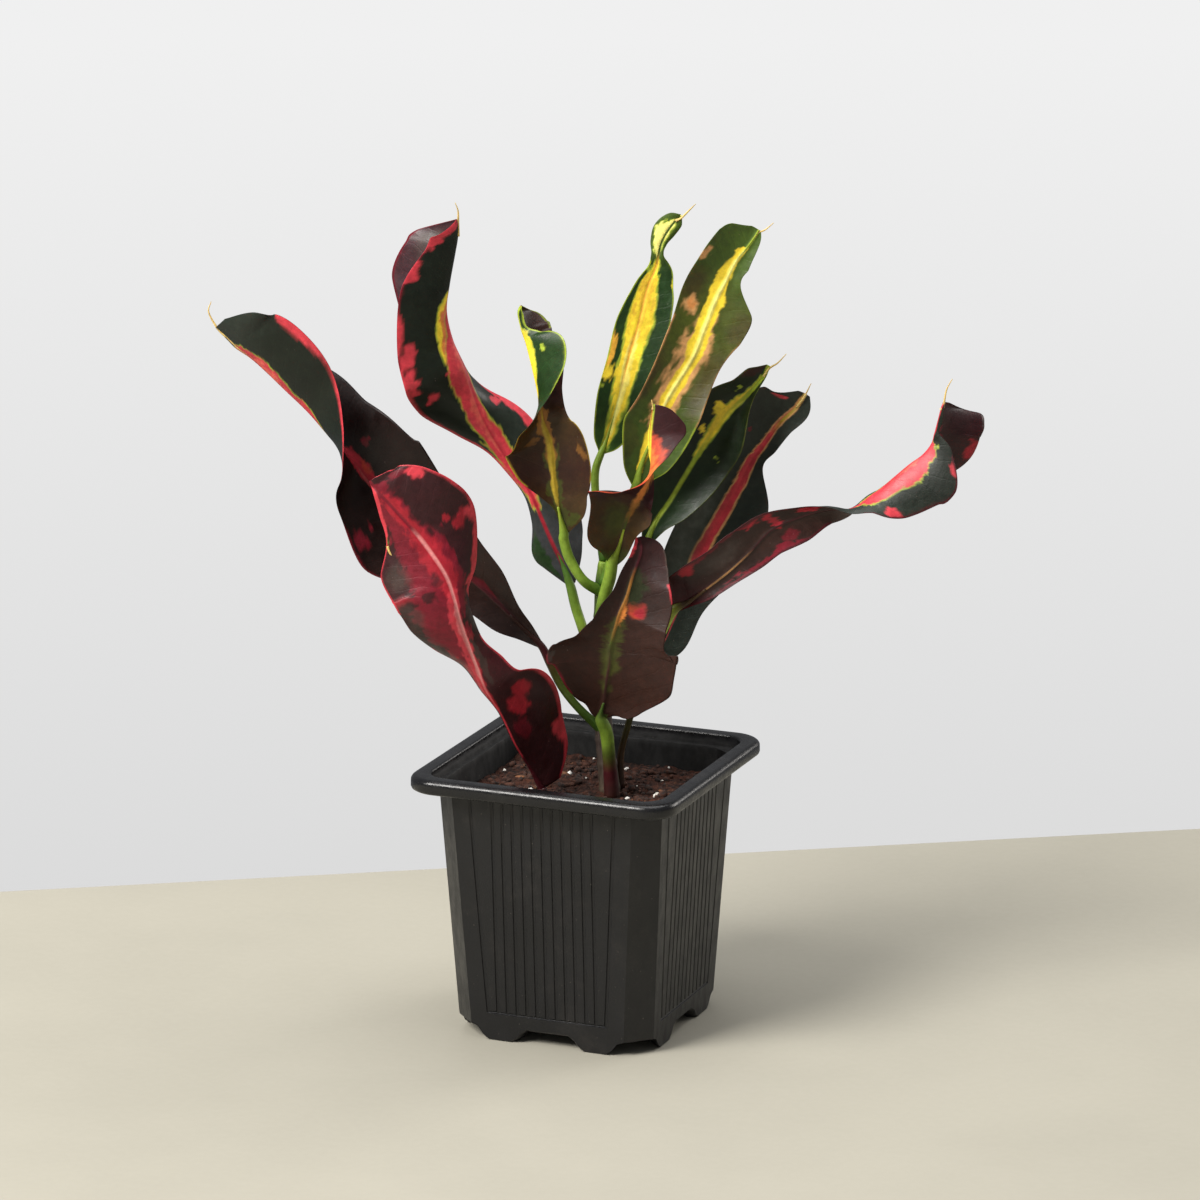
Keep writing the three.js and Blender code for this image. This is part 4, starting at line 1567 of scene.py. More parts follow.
        slot="green_leaf",
        stations=(
            (20, 8, 171, 1, 1, 0, 10),
            (24, 10, 180, 5, 5, 0, 15),
            (29, 12, 187, 10, 9, 0, 20),
            (34, 14, 195, 12, 12, 0, 20),
            (39, 16, 203, 13, 13, 0, 20),
            (45, 17, 212, 13, 13, 5, 25),
            (51, 18, 219, 12, 9, 10, 30),
            (57, 18, 225, 9, 4, 15, 40),
            (62, 17, 231, 7, 2, 25, 45),
            (64, 17, 235, 1, 0.5, 30, 30),
        ),
        petiole=((5, 1, 143), (13, 8, 158), (20, 8, 172)),
        petiole_radius=1.7,
        petiole_tints=GREEN_STALK,
        hair=((64, 17, 234), (67, 17, 236), (70, 18, 239)),
        upper=Face(
            ground=((0, Tint.DEEP_GREEN), (4, Tint.FOREST), (10, Tint.FOREST)),
            rib=((0, Tint.LIME), (4, Tint.LIME), (5, Tint.YELLOW), (7, Tint.LIME)),
            rib_width=0.8,
            bands=(
                Band(
                    Tint.YELLOW,
                    ((3.8, 1, 0.6), (5, 1.8, 0.9), (6, 2.6, 0.9), (7, 1.4, 0.6), (8, 0.8, 0.4)),
                    Tint.LIME,
                ),
            ),
            hems=(Band(Tint.OLIVE, ((0, 0.3, 0.3), (9, 0.4, 0.3))),),
            patches=(
                Patch(Tint.YELLOW, 4.75, -0.34, 0.16, 0.12),
                Patch(Tint.YELLOW, 5.75, -0.36, 0.26, 0.16),
                Patch(Tint.LIME, 6.9, -0.5, 0.14, 0.08, 0.9),
                Patch(Tint.BROWN, 8.4, -0.9, 0.9, 0.6),
                Patch(Tint.LIME, 4.2, 0.5, 0.06, 0.04),
            ),
        ),
        under=Face(ground=((0, Tint.BROWN),), rib=((0, Tint.GOLD),)),
    ),
    Leaf(
        name="leaf_red_rib",
        slot="charcoal_leaf",
        stations=(
            (22, 10, 128, 1, 1, 0, 5),
            (27, 13, 136, 8, 8, 0, 10),
            (33, 17, 149, 11, 9, 0, 12),
            (39, 21, 163, 13, 15, 0, 12),
            (45, 24, 174, 14, 15, 0, 12),
            (52, 26, 186, 16, 14, 0, 15),
            (58, 27, 198, 17, 5, -5, 20),
            (63, 27, 205, 17.4, 5, -5, 19),
            (68, 26.5, 212, 17.6, 5.2, -5, 16),
            (74, 26, 218, 13.8, 5.2, -5, 16),
            (77, 25, 223, 3, 2, -5, 12),
        ),
        petiole=((12, 3, 83.6), (12, 6, 96), (15, 8, 108), (18, 9, 118), (22, 10, 129)),
        petiole_radius=1.2,
        petiole_tints=((0.0, Tint.BROWN), (0.3, Tint.OLIVE_BROWN), (0.7, Tint.OLIVE), (1.2, Tint.SLATE)),
        hair=((76.5, 24, 222), (79, 24, 227)),
        upper=Face(
            ground=((0, Tint.SLATE), (3, Tint.SLATE), (5, Tint.SLATE), (10, Tint.SLATE)),
            rib=((0, Tint.PINK_RED), (7.4, Tint.PINK_RED), (8.2, Tint.GOLD), (10, Tint.DRY)),
            rib_width=0.6,
            bands=(
                Band(
                    Tint.PEACH,
                    ((2, 2, 2), (3.4, 3, 3), (5, 2.8, 2.6), (6, 2.3, 1.8), (7.5, 1.5, 1), (9.6, 0.9, 0.7)),
                    ragged=0.6,
                ),
                Band(
                    Tint.PINK_RED,
                    (
                        (2, 1.4, 1.4),
                        (3.4, 2.2, 2.2),
                        (5, 2.1, 2),
                        (6, 1.8, 1.4),
                        (7.6, 1, 0.6),
                        (9, 0.7, 0),
                    ),
                    ragged=0.8,
                ),
            ),
            patches=(
                # Painted sheen: a lighter grey-green patch where the dark blade catches the light.
                Patch(Tint.PAINTED_SHEEN, 3.8, -0.6, 1.7, 0.4, 0.8, 4),
                Patch(Tint.PINK_RED, 9.05, -0.62, 0.26, 0.13),
                Patch(Tint.CRIMSON, 7.2, -0.5, 0.1, 0.05),
            ),
        ),
        under=Face(ground=((0, Tint.MAROON),), rib=((0, Tint.CRIMSON),)),
    ),
    Leaf(
        name="leaf_long_right",
        slot="maroon_leaf",
        stations=(
            (30, -3, 151, 1, 1, 180, -5),
            (36, -4, 155, 2, 12, 180, -20),
            (42, -6, 160, 4, 14, 180, -25),
            (50, -8, 167, 5, 12, 180, -20),
            (57, -9, 174, 7, 11, 180, -15),
            (64, -10, 182, 9, 8, 178, -15),
            (74, -10, 187, 9, 5, 170, -20),
            (84, -10, 190, 6, 5, 140, -30),
            (92, -10, 190, 7, 5, 100, -20),
            (98, -9, 193, 6, 8, 72, -20),
            (103, -9, 197, 7, 14, 70, -40),
            (112, -8, 205, 12, 18, 80, -50),
            (117, -8, 209, 16, 18, 88, -58),
            (120, -8, 213, 19, 9, 90, -60),
            (121, -8, 217, 20, 2, 90, -60),
            (122, -8, 221, 21.5, 2, 90, -55),
            (123, -8, 225, 20, 1.5, 90, -45),
            (124, -8, 227.5, 5, 1, 90, -30),
        ),
        petiole=((5, -1, 118), (17, -2, 131), (24, -3, 140), (31, -3, 152)),
        petiole_radius=2.1,
        petiole_tints=(
            (0.0, Tint.OLIVE), (0.5, Tint.FRESH_GREEN), (0.85, Tint.LIME), (1.2, Tint.OLIVE_BROWN)
        ),
        hair=((124, -8, 226), (125, -8, 232), (127, -8, 236)),
        upper=Face(
            ground=((0, Tint.BLACK_GREEN), (9.5, Tint.SLATE), (11, Tint.BLACK_GREEN)),
            rib=((0, Tint.PINK_RED),),
            bands=(
                Band(
                    Tint.PINK_RED,
                    (
                        (8.6, 1, 1.8),
                        (9.4, 1, 3.8),
                        (10, 1, 5.6),
                        (11, 2, 9.5),
                        (11.6, 2, 8),
                        (12, 2, 6),
                        (13, 1.4, 3),
                    ),
                    Tint.LIME,
                    ragged=1.3,
                ),
                Band(Tint.CORAL, ((10.4, 0.5, 1.5), (11.2, 0.5, 3.5)), ragged=2.4, strength=0.7),
            ),
            hems=(Band(Tint.WINE, ((8.4, 0.4, 0.4), (13, 0.4, 0.4))),),
            patches=(
                Patch(Tint.PINK_RED, 9.7, 0.85, 0.25, 0.13),
                Patch(Tint.PINK_RED, 12.6, 0.95, 0.15, 0.12, 0.7),
            ),
        ),
        under=Face(
            ground=(
                (0, Tint.WINE),
                (1.5, Tint.MAROON),
                (2.4, Tint.UMBER),
                (6, Tint.UMBER),
                (7.4, Tint.BROWN),
                (12, Tint.MAROON),
            ),
            rib=((0, Tint.TAN), (3, Tint.TAN), (4.2, Tint.MAROON), (12, Tint.WINE)),
            rib_width=0.28,
            bands=(Band(Tint.CRIMSON, ((13, 4, 0), (13.6, 5, 0), (14.8, 3, 0)), ragged=1.6),),
            hems=(
                Band(
                    Tint.CRIMSON,
                    ((1.7, 0.4, 1.6), (3, 1.8, 1.4), (4.4, 2.6, 1.4), (5.4, 2.8, 0.8), (6, 0.8, 0.8)),
                    ragged=1.6,
                ),
                Band(Tint.WINE, ((0.5, 0.6, 0.8), (7, 0.8, 0.8))),
            ),
            patches=(
                Patch(Tint.SCARLET, 2.1, 0.9, 0.3, 0.22),
                Patch(Tint.SCARLET, 4.8, 0.85, 0.25, 0.22),
                Patch(Tint.SCARLET, 5.3, 0.5, 0.14, 0.6),
                Patch(Tint.SCARLET, 6.45, 0.7, 0.32, 0.5),
                Patch(Tint.CRIMSON, 5.5, -0.5, 0.3, 0.2, 0.6),
                Patch(Tint.SCARLET, 13.2, -0.97, 0.35, 0.1),
                Patch(Tint.GREY_BROWN, 3.2, 0.5, 0.8, 0.3, 0.8, 4),
            ),
        ),
    ),
    Leaf(
        name="leaf_front_broad",
        slot="maroon_leaf",
        stations=(
            (5, -12, 114, 1, 1, 180, -5),
            (5, -13, 117, 6.5, 4, 180, -10),
            (6, -14, 121, 14, 9, 180, -14),
            (7, -16, 129, 23, 16, 180, -17),
            (8, -17, 136, 24, 21, 180, -17),
            (8, -17, 139.8, 25.2, 23, 180, -17),
            (8.2, -17, 141.6, 24.4, 20, 180, -17),
            (8.6, -17, 143.6, 22.4, 14.6, 180, -17),
            (9.2, -17, 146.2, 19.8, 11.8, 180, -17),
            (10.2, -17, 149.6, 18.5, 9.5, 180, -17),
            (11.4, -17, 154, 18, 8, 179, -18),
            (14, -16, 160, 17, 6, 177, -19),
            (16, -15, 167, 14, 5, 174, -20),
            (18, -13, 172, 11, 4, 172, -20),
            (19, -12, 176, 8, 3.5, 170, -20),
            (18, -11, 180, 1.5, 1, 170, -10),
        ),
        petiole=((9, -7, 83.6), (8, -8, 96), (7, -10, 108), (5, -12, 116)),
        petiole_radius=2.3,
        petiole_tints=(
            (0.0, Tint.BROWN),
            (0.3, Tint.WINE),
            (0.45, Tint.OLIVE),
            (0.6, Tint.FRESH_GREEN),
            (1.3, Tint.MOSS),
        ),
        hair=((18, -11, 179), (16, -11, 181)),
        finish=LeafFinish(roughness=0.54, coat=0),
        upper=Face(ground=((0, Tint.BLACK_GREEN),), rib=((0, Tint.PINK_RED),)),
        under=Face(
            ground=((0, Tint.BROWN), (9, Tint.BROWN), (11, Tint.UMBER), (15, Tint.MAROON)),
            rib=(
                (0, Tint.MOSS),
                (1.5, Tint.BROWN),
                (3.5, Tint.MAROON),
                (7, Tint.OLIVE),
                (9.4, Tint.OCHRE),
                (11.6, Tint.OCHRE),
                (12.6, Tint.WINE),
            ),
            rib_width=0.5,
            bands=(
                Band(Tint.MOSS, ((0, 2.4, 2), (0.8, 1.6, 1.4)), ragged=1.2, strength=0.8),
                Band(
                    Tint.OLIVE,
                    ((2.6, 1.2, 1.2), (4.4, 3, 2.4), (8.4, 3.4, 2.2), (9.6, 2, 1.2)),
                    ragged=2.2,
                    strength=0.6,
                    soft=5,
                ),
                Band(
                    Tint.DEEP_GREEN,
                    ((10.6, 4, 0.5), (11.4, 6, 0.5), (12.4, 3, 0.5)),
                    ragged=2.4,
                    strength=0.5,
                    soft=5,
                ),
            ),
            hems=(
                Band(Tint.CRIMSON, ((2.6, 0, 0.7), (5, 0, 0.7))),
                Band(Tint.PINK_RED, ((11.4, 0.8, 0), (12.1, 0.8, 0))),
                Band(Tint.PINK_RED, ((13, 0, 0.9), (15, 0, 1.4)), soft=2),
                Band(Tint.GREY_BROWN, ((12.4, 0.5, 0), (14, 0.5, 0))),
            ),
            patches=(
                Patch(Tint.ORANGE, 10.0, -0.07, 0.8, 0.055, 1, 3),
                Patch(Tint.RED_ORANGE, 10.4, -0.3, 0.34, 0.14, 0.8, 3),
                Patch(Tint.SCARLET, 10.45, -0.34, 0.24, 0.1, 1, 3),
                Patch(Tint.GREY_BROWN, 5.4, -0.95, 0.35, 0.06, 0.8),
                Patch(Tint.GREY_BROWN, 5.0, 0.97, 0.35, 0.06, 0.9),
            ),
        ),
    ),
)


# ---- stem, peat and pot ---------------------------------------------------------------


@dataclass
class MainStem:
    """The woody stem that most leaves grow from."""

    path: tuple[tuple[float, float, float], ...] = (
        (8, 0, 83.6),
        (7, 0, 96),
        (6, 0, 108),
        (5, 0, 121),
        (5, 0, 136),
        (5, 0, 150),
        (5, 1, 160),
        (6, 1, 168),
    )
    radii: tuple[float, ...] = (3.7, 3.4, 3.2, 3.0, 2.8, 2.5, 2.2, 1.9)
    node_spacing: float = 9
    tints: tuple[tuple[float, Tint], ...] = (
        (0, Tint.BARK),
        (1.5, Tint.GREY_BROWN),
        (3, Tint.BARK),
        (4.5, Tint.OLIVE),
        (6, Tint.DEEP_GREEN),
        (7, Tint.FRESH_GREEN),
    )
    finish: BarkFinish = field(default_factory=BarkFinish)

    def build(self) -> bpy.types.Object:
        """Makes the stem with its leaf scars and puts it in place of its solid.

        Returns:
            The stem.
        """
        rings, at = tube(np.array(self.path, float), np.array(self.radii), sides=24, steps=16)
        centre = rings.mean(axis=1, keepdims=True)
        angle = np.linspace(0, 2 * math.pi, rings.shape[1], endpoint=False)[None]
        height = centre[:, :, 2]
        scar = np.exp(-(((height % self.node_spacing) - self.node_spacing / 2) ** 2) / 0.8)
        swell = 1 + 0.07 * scar + 0.04 * np.sin(3 * angle + height / 6)
        rings = centre + (rings - centre) * swell[..., None]
        place = at[:, None] + 0 * rings[..., 0]
        paint = Leaf.shades(self.tints, place)
        skin = Skin()
        skin.loft(rings, paint)
        piece = skin.build("main_stem_living", self.finish.material("stem_bark"), PLANT_TURN)
        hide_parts("main_stem")
        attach(piece, "root")
        return piece


@dataclass
class Pot:
    """The square nursery pot: ribbed walls with cut corners, a rolled rim and eight feet."""

    height: float = 97
    rim_half: float = 50
    rim_corner: float = 11
    rim_band: float = 5.3
    opening_half: float = 43.7
    opening_corner: float = 8
    body_top: float = 42.3
    body_bottom: float = 37.2
    chamfer: float = 8.2
    wall: float = 1.3
    foot_height: float = 5
    floor_top: float = 7
    crisp: float = 0.03
    ledge: float = 92.8
    groove_count: int = 11
    groove_spacing: float = 3.76
    groove_width: float = 0.8
    groove_depth: float = 0.5
    groove_ease: float = 0.25
    groove_shoulder: float = 0.75
    frame_top: float = 27.4
    frame_bottom: float = 22.2
    groove_bottom: float = 10
    foot_middle: float = 18.5
    foot_half_top: float = 10
    foot_half_bottom: float = 4.5
    foot_depth: float = 3.8
    corner_steps: int = 10
    inside_rings: int = 7
    outline_half: float = 29.5
    outline_last: float = 29.3
    roll: float = 2.0
    roll_steps: int = 8
    lip: float = 0.9
    lip_steps: int = 5
    sharp_angle: float = 38
    finish: PotFinish = field(default_factory=PotFinish)

    def wall_half(self, z: float) -> float:
        """Gives half the width across the outside of the wall at a height."""
        along = (z - self.foot_height) / (self.height - self.rim_band - self.foot_height)
        return self.body_bottom + (self.body_top - self.body_bottom) * along

    def stops(self, z: float, bar: float) -> list[tuple[float, float]]:
        """Lists the places along one wall that its outline needs, with the depth cut there.

        Args:
            z: height, which the frame round the ribs closes in with.
            bar: share of the depth that is cut all along the panel.

        Returns:
            Places from one end of the wall to the other, each with its depth.
        """
        share = min(max((z - self.foot_height) / (self.height - self.rim_band - self.foot_height), 0), 1)
        frame = self.frame_bottom + (self.frame_top - self.frame_bottom) * share
        rows: list[tuple[float, float]] = []
        middles = [(i - (self.groove_count - 1) / 2) * self.groove_spacing for i in range(self.groove_count)]
        middles += [-frame, frame]
        for middle in middles:
            w = self.groove_width / 2
            past = w + self.groove_ease
            shoulder = self.groove_shoulder
            for offset, depth in ((-past, 0.0), (-w, shoulder), (0.0, 1.0), (w, shoulder), (past, 0.0)):
                inner = bar if abs(middle + offset) < frame + w else 0
                rows.append((middle + offset, max(depth, inner) * self.groove_depth))
        outer = frame + self.groove_width
        for step in (0.3, 0.65, 1.0):
            edge = outer + (self.outline_last - outer) * step
            rows += [(-edge, 0.0), (edge, 0.0)]
        return sorted(rows)

    def ring(
        self,
        half: float,
        corner: float,
        round_share: float,
        z: float,
        cut: float = 0,
        skirt: bool = False,
        bar: float = 0,
    ) -> np.ndarray:
        """Makes one level outline of the pot.

        Args:
            half: half the width of the square.
            corner: how far the corner is cut back.
            round_share: 0 for a straight cut corner, 1 for a round one.
            z: height.
            cut: share of the grooves' full depth.
            skirt: whether the outline dips to the ground at the feet.
            bar: share of the depth that is cut all along the panel.

        Returns:
            Points counterclockwise from above.
        """
        rows: list[tuple[float, float, float]] = []
        flat = half - corner
        for along, depth in self.stops(z, bar):
            x = -along * min(flat / self.outline_half, 1.0)
            drop = self.foot_drop(along) if skirt else 0.0
            rows.append((half - depth * cut, -x, z - drop))
        for step in range(self.corner_steps + 1):
            arc = step / self.corner_steps * math.pi / 2
            round_x, round_y = flat + corner * math.cos(arc), flat + corner * math.sin(arc)
            past = max(round_x + round_y - (2 * half - corner), 0) / 2 * (1 - round_share)
            rows.append((round_x - past, round_y - past, z))
        side = np.array(rows)
        turns = []
        for quarter in range(4):
            c, s = round(math.cos(quarter * math.pi / 2)), round(math.sin(quarter * math.pi / 2))
            turns.append(side @ np.array([[c, s, 0], [-s, c, 0], [0, 0, 1]], float))
        return np.vstack(turns)

    def foot_drop(self, along: float) -> float:
        """Gives how far the wall reaches below the body's edge.

        Args:
            along: place along the wall.

        Returns:
            The drop in millimetres.
        """
        off = abs(abs(along) - self.foot_middle)
        share = (self.foot_half_top - off) / (self.foot_half_top - self.foot_half_bottom)
        return self.foot_height * float(smoothstep(0, 1, np.array(share)))

    def body(self) -> np.ndarray:
        """Lofts the shell from the floor's underside up, over the rim and down inside.

        Returns:
            The rings of the shell.
        """
        low, rim_low, top = self.foot_height, self.height - self.rim_band, self.height
        inner = self.chamfer - self.wall * (2 - math.sqrt(2))
        bottom = self.body_bottom
        rings = [
            self.ring(bottom - self.foot_depth - 1, self.chamfer, self.crisp, low),
            self.ring(bottom - self.foot_depth, self.chamfer, self.crisp, low),
            self.ring(bottom - self.foot_depth + 0.1, self.chamfer, self.crisp, low, skirt=True),
            self.ring(bottom - 0.5, self.chamfer, self.crisp, low, skirt=True),
            self.ring(bottom, self.chamfer, self.crisp, low + 0.45, skirt=True),
            self.ring(bottom + 0.1, self.chamfer, self.crisp, low + 1.6),
        ]
        for rise, cut, bar in ((0.0, 0, 0), (0.2, 1, 0.75), (0.5, 1, 1), (0.8, 1, 0.75), (1.0, 1, 0)):
            z = self.groove_bottom + rise
            rings.append(self.ring(self.wall_half(z), self.chamfer, self.crisp, z, cut=cut, bar=bar))
        for share in (0.25, 0.5, 0.75):
            z = self.groove_bottom + (rim_low - self.groove_bottom) * share
            rings.append(self.ring(self.wall_half(z), self.chamfer, self.crisp, z, cut=1))
        rings += [
            self.ring(self.wall_half(rim_low - 0.9), self.chamfer, self.crisp, rim_low - 0.9, cut=1),
            self.ring(self.wall_half(rim_low - 0.3), self.chamfer, self.crisp, rim_low - 0.3),
            self.ring(self.body_top + 0.3, self.chamfer, self.crisp, rim_low),
        ]
        rings += self.rim(rim_low, top)
        rings += [
            self.ring(self.opening_half - 0.6, self.opening_corner, 1, self.ledge + 0.7),
            self.ring(self.opening_half - 0.9, self.opening_corner, 1, self.ledge + 0.15),
            self.ring(self.opening_half - 1.4, self.opening_corner, 0.8, self.ledge),
            self.ring(self.wall_half(self.ledge) - self.wall + 0.3, inner, 0.4, self.ledge),
            self.ring(self.wall_half(self.ledge) - self.wall, inner, 0.3, self.ledge - 0.4),
            self.ring(self.wall_half(60) - self.wall, inner, 0.2, 60),
            self.ring(self.wall_half(self.floor_top) - self.wall, inner, 0.2, self.floor_top),
        ]
        return np.stack(rings)

    def rim(self, low: float, top: float) -> list[np.ndarray]:
        """Makes the outlines of the rolled rim between two heights.

        Args:
            low: height of its underside.
            top: height of its top.

        Returns:
            The outlines, from outside to inside.
        """
        profile = [
            (self.rim_half - 1.6, low), (self.rim_half - 0.9, low + 0.12), (self.rim_half - 0.25, low + 0.6)
        ]
        profile += [(self.rim_half, low + 1.3), (self.rim_half, top - 2.4)]
        roll, lip = self.roll, self.lip
        for step in range(1, self.roll_steps + 1):
            arc = step / self.roll_steps * math.pi / 2
            profile.append((self.rim_half - roll + roll * math.cos(arc), top - roll + roll * math.sin(arc)))
        start = self.opening_half + lip
        for step in range(self.lip_steps + 1):
            arc = math.pi / 2 * step / self.lip_steps
            profile.append((start - lip * math.sin(arc), top - lip + lip * math.cos(arc)))
        across = self.rim_half - self.opening_half
        rings = []
        for half, z in profile:
            corner = self.rim_corner - (self.rim_half - half) * (
                self.rim_corner - self.opening_corner
            ) / across
            rings.append(self.ring(half, corner, 1, z))
        return rings

    def build(self) -> bpy.types.Object:
        """Makes the pot and puts it in place of its solid.

        Returns:
            The pot.
        """
        rings = self.body()
        # Marks the inside rings, whose walls the finish paints darker as shade.
        painted_shade_mask = np.zeros((*rings.shape[:2], 3))
        painted_shade_mask[-self.inside_rings :] = 1
        skin = Skin()
        skin.loft(rings, painted_shade_mask)
        piece = skin.build("pot_moulded", self.finish.material("pot_plastic"))
        piece.data.set_sharp_from_angle(angle=math.radians(self.sharp_angle))
        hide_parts("pot")
        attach(piece, "root")
        return piece


@dataclass
class Peat:
    """The peat in the pot, with crumbs, bark and perlite on it."""

    top: float = 84
    bottom: float = 60
    taper: float = 0.93
    margin: float = 2
    corner_margin: float = 3
    bumpiness: float = 0.28
    tilt: float = 0.6
    lift: float = 0.12
    half: float = 40.1
    corner: float = 8
    cells: int = 150
    crumbs: int = 620
    perlite: int = 34
    bark: int = 36
    finish: PeatFinish = field(default_factory=PeatFinish)

    def relief(self, x: np.ndarray, y: np.ndarray) -> np.ndarray:
        """Gives the height of the peat above its mean level, in millimetres."""
        height = 0.9 * noise(x + 80, y + 80, 14, 3) + 0.7 * noise(x + 80, y + 80, 5, 4)
        return height + 0.5 * noise(x + 80, y + 80, 2.1, 5) + 0.3 * noise(x + 80, y + 80, 1.0, 6)

    def bed(self) -> bpy.types.Object:
        """Makes the bumpy bed of peat and puts it in place of its solid.

        Returns:
            The bed.
        """
        line = np.linspace(-1, 1, self.cells + 1)
        gx, gy = np.meshgrid(line, line, indexing="ij")
        over = np.maximum(np.abs(gx) + np.abs(gy) - (2 - self.corner / self.half), 0) / 2
        x = (gx - np.sign(gx) * over) * self.half
        y = (gy - np.sign(gy) * over) * self.half
        z = self.top + self.relief(x, y)
        size = self.cells + 1
        top = np.stack([x, y, z], axis=-1).reshape(-1, 3)
        index = np.arange(size * size).reshape(size, size)
        quads = np.stack([index[:-1, :-1], index[1:, :-1], index[1:, 1:], index[:-1, 1:]], axis=-1)
        faces = quads.reshape(-1, 4).tolist()
        edge = np.concatenate([index[:-1, 0], index[-1, :-1], index[:0:-1, -1], index[0, :0:-1]])
        low = top[edge] * np.array([self.taper, self.taper, 0])
        low[:, 2] = self.bottom
        start = len(top)
        under = start + np.arange(len(edge))
        for i in range(len(edge)):
            j = (i + 1) % len(edge)
            faces.append([int(edge[i]), int(under[i]), int(under[j]), int(edge[j])])
        faces.append(under[::-1].tolist())
        skin = Skin()
        skin.close(np.vstack([top, low]), faces)
        piece = skin.build("peat_bed", self.finish.material("peat"))
        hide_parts("soil")
        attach(piece, "root")
        return piece

    def bits(
        self, name: str, count: int, low: float, high: float, finish: GrainFinish, seed: int, flat: float
    ) -> bpy.types.Object:
        """Scatters rough grains over the peat.

        Args:
            name: the piece's name.
            count: how many grains.
            low: smallest size in millimetres.
            high: largest size in millimetres.
            finish: how they look.
            seed: picks their places.
            flat: height of a grain as a share of its width.

        Returns:
            One object that holds all the grains.
        """
        chance = np.random.default_rng(seed)
        ball = self.pebble_points()
        skin = Skin()
        for _ in range(count):
            x, y = chance.uniform(-self.half + self.margin, self.half - self.margin, 2)
            if abs(x) + abs(y) > 2 * self.half - self.corner - self.corner_margin:
                continue
            size = low + (high - low) * chance.random() ** 2
            points, faces = ball
            bumpy = points * (1 + self.bumpiness * chance.uniform(-1, 1, (len(points), 1)))
            stretch = chance.uniform(0.7, 1.5, 3) * size / 2
            spin = Matrix.Rotation(chance.uniform(0, 6.3), 3, "Z")
            turn = spin @ Matrix.Rotation(chance.uniform(-self.tilt, self.tilt), 3, "X")
            grain = (bumpy * stretch * np.array([1, 1, flat])) @ np.array(turn).T
            z = self.top + float(self.relief(np.array(x), np.array(y))) + size * flat * self.lift
            skin.close(grain + np.array([x, y, z]), faces)
        piece = skin.build(name, finish.material(f"{name}_grain"))
        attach(piece, "root")
        return piece

    @staticmethod
    def pebble_points() -> tuple[np.ndarray, list[list[int]]]:
        """Makes a coarse ball.

        Returns:
            Its points and its faces.
        """
        golden = (1 + math.sqrt(5)) / 2
        points = []
        for a in (-1, 1):
            for b in (-golden, golden):
                points += [(0, a, b), (a, b, 0), (b, 0, a)]
        corners = np.array(points, float)
        corners /= np.linalg.norm(corners, axis=1, keepdims=True)
        faces = []
        for i in range(12):
            for j in range(i + 1, 12):
                for k in range(j + 1, 12):
                    sides = [np.linalg.norm(corners[a] - corners[b]) for a, b in ((i, j), (j, k), (k, i))]
                    if max(sides) < 1.1:
                        normal = np.cross(corners[j] - corners[i], corners[k] - corners[i])
                        faces.append([i, j, k] if normal @ corners[i] > 0 else [i, k, j])
        return corners, faces

    def build(self) -> list[bpy.types.Object]:
        """Makes the bed and everything that lies on it.

        Returns:
            The pieces.
        """
        return [
            self.bed(),
            self.bits("peat_crumbs", self.crumbs, 0.8, 3.4, GrainFinish("1d0f09", "4a2818"), 21, 0.7),
            self.bits("peat_bark", self.bark, 1.5, 5.0, GrainFinish("38200f", "8a5a3a"), 22, 0.4),
            self.bits("perlite", self.perlite, 0.7, 3.2, GrainFinish("c9c4bb", "efece6"), 23, 0.8),
        ]


# ---- studio ---------------------------------------------------------------------------


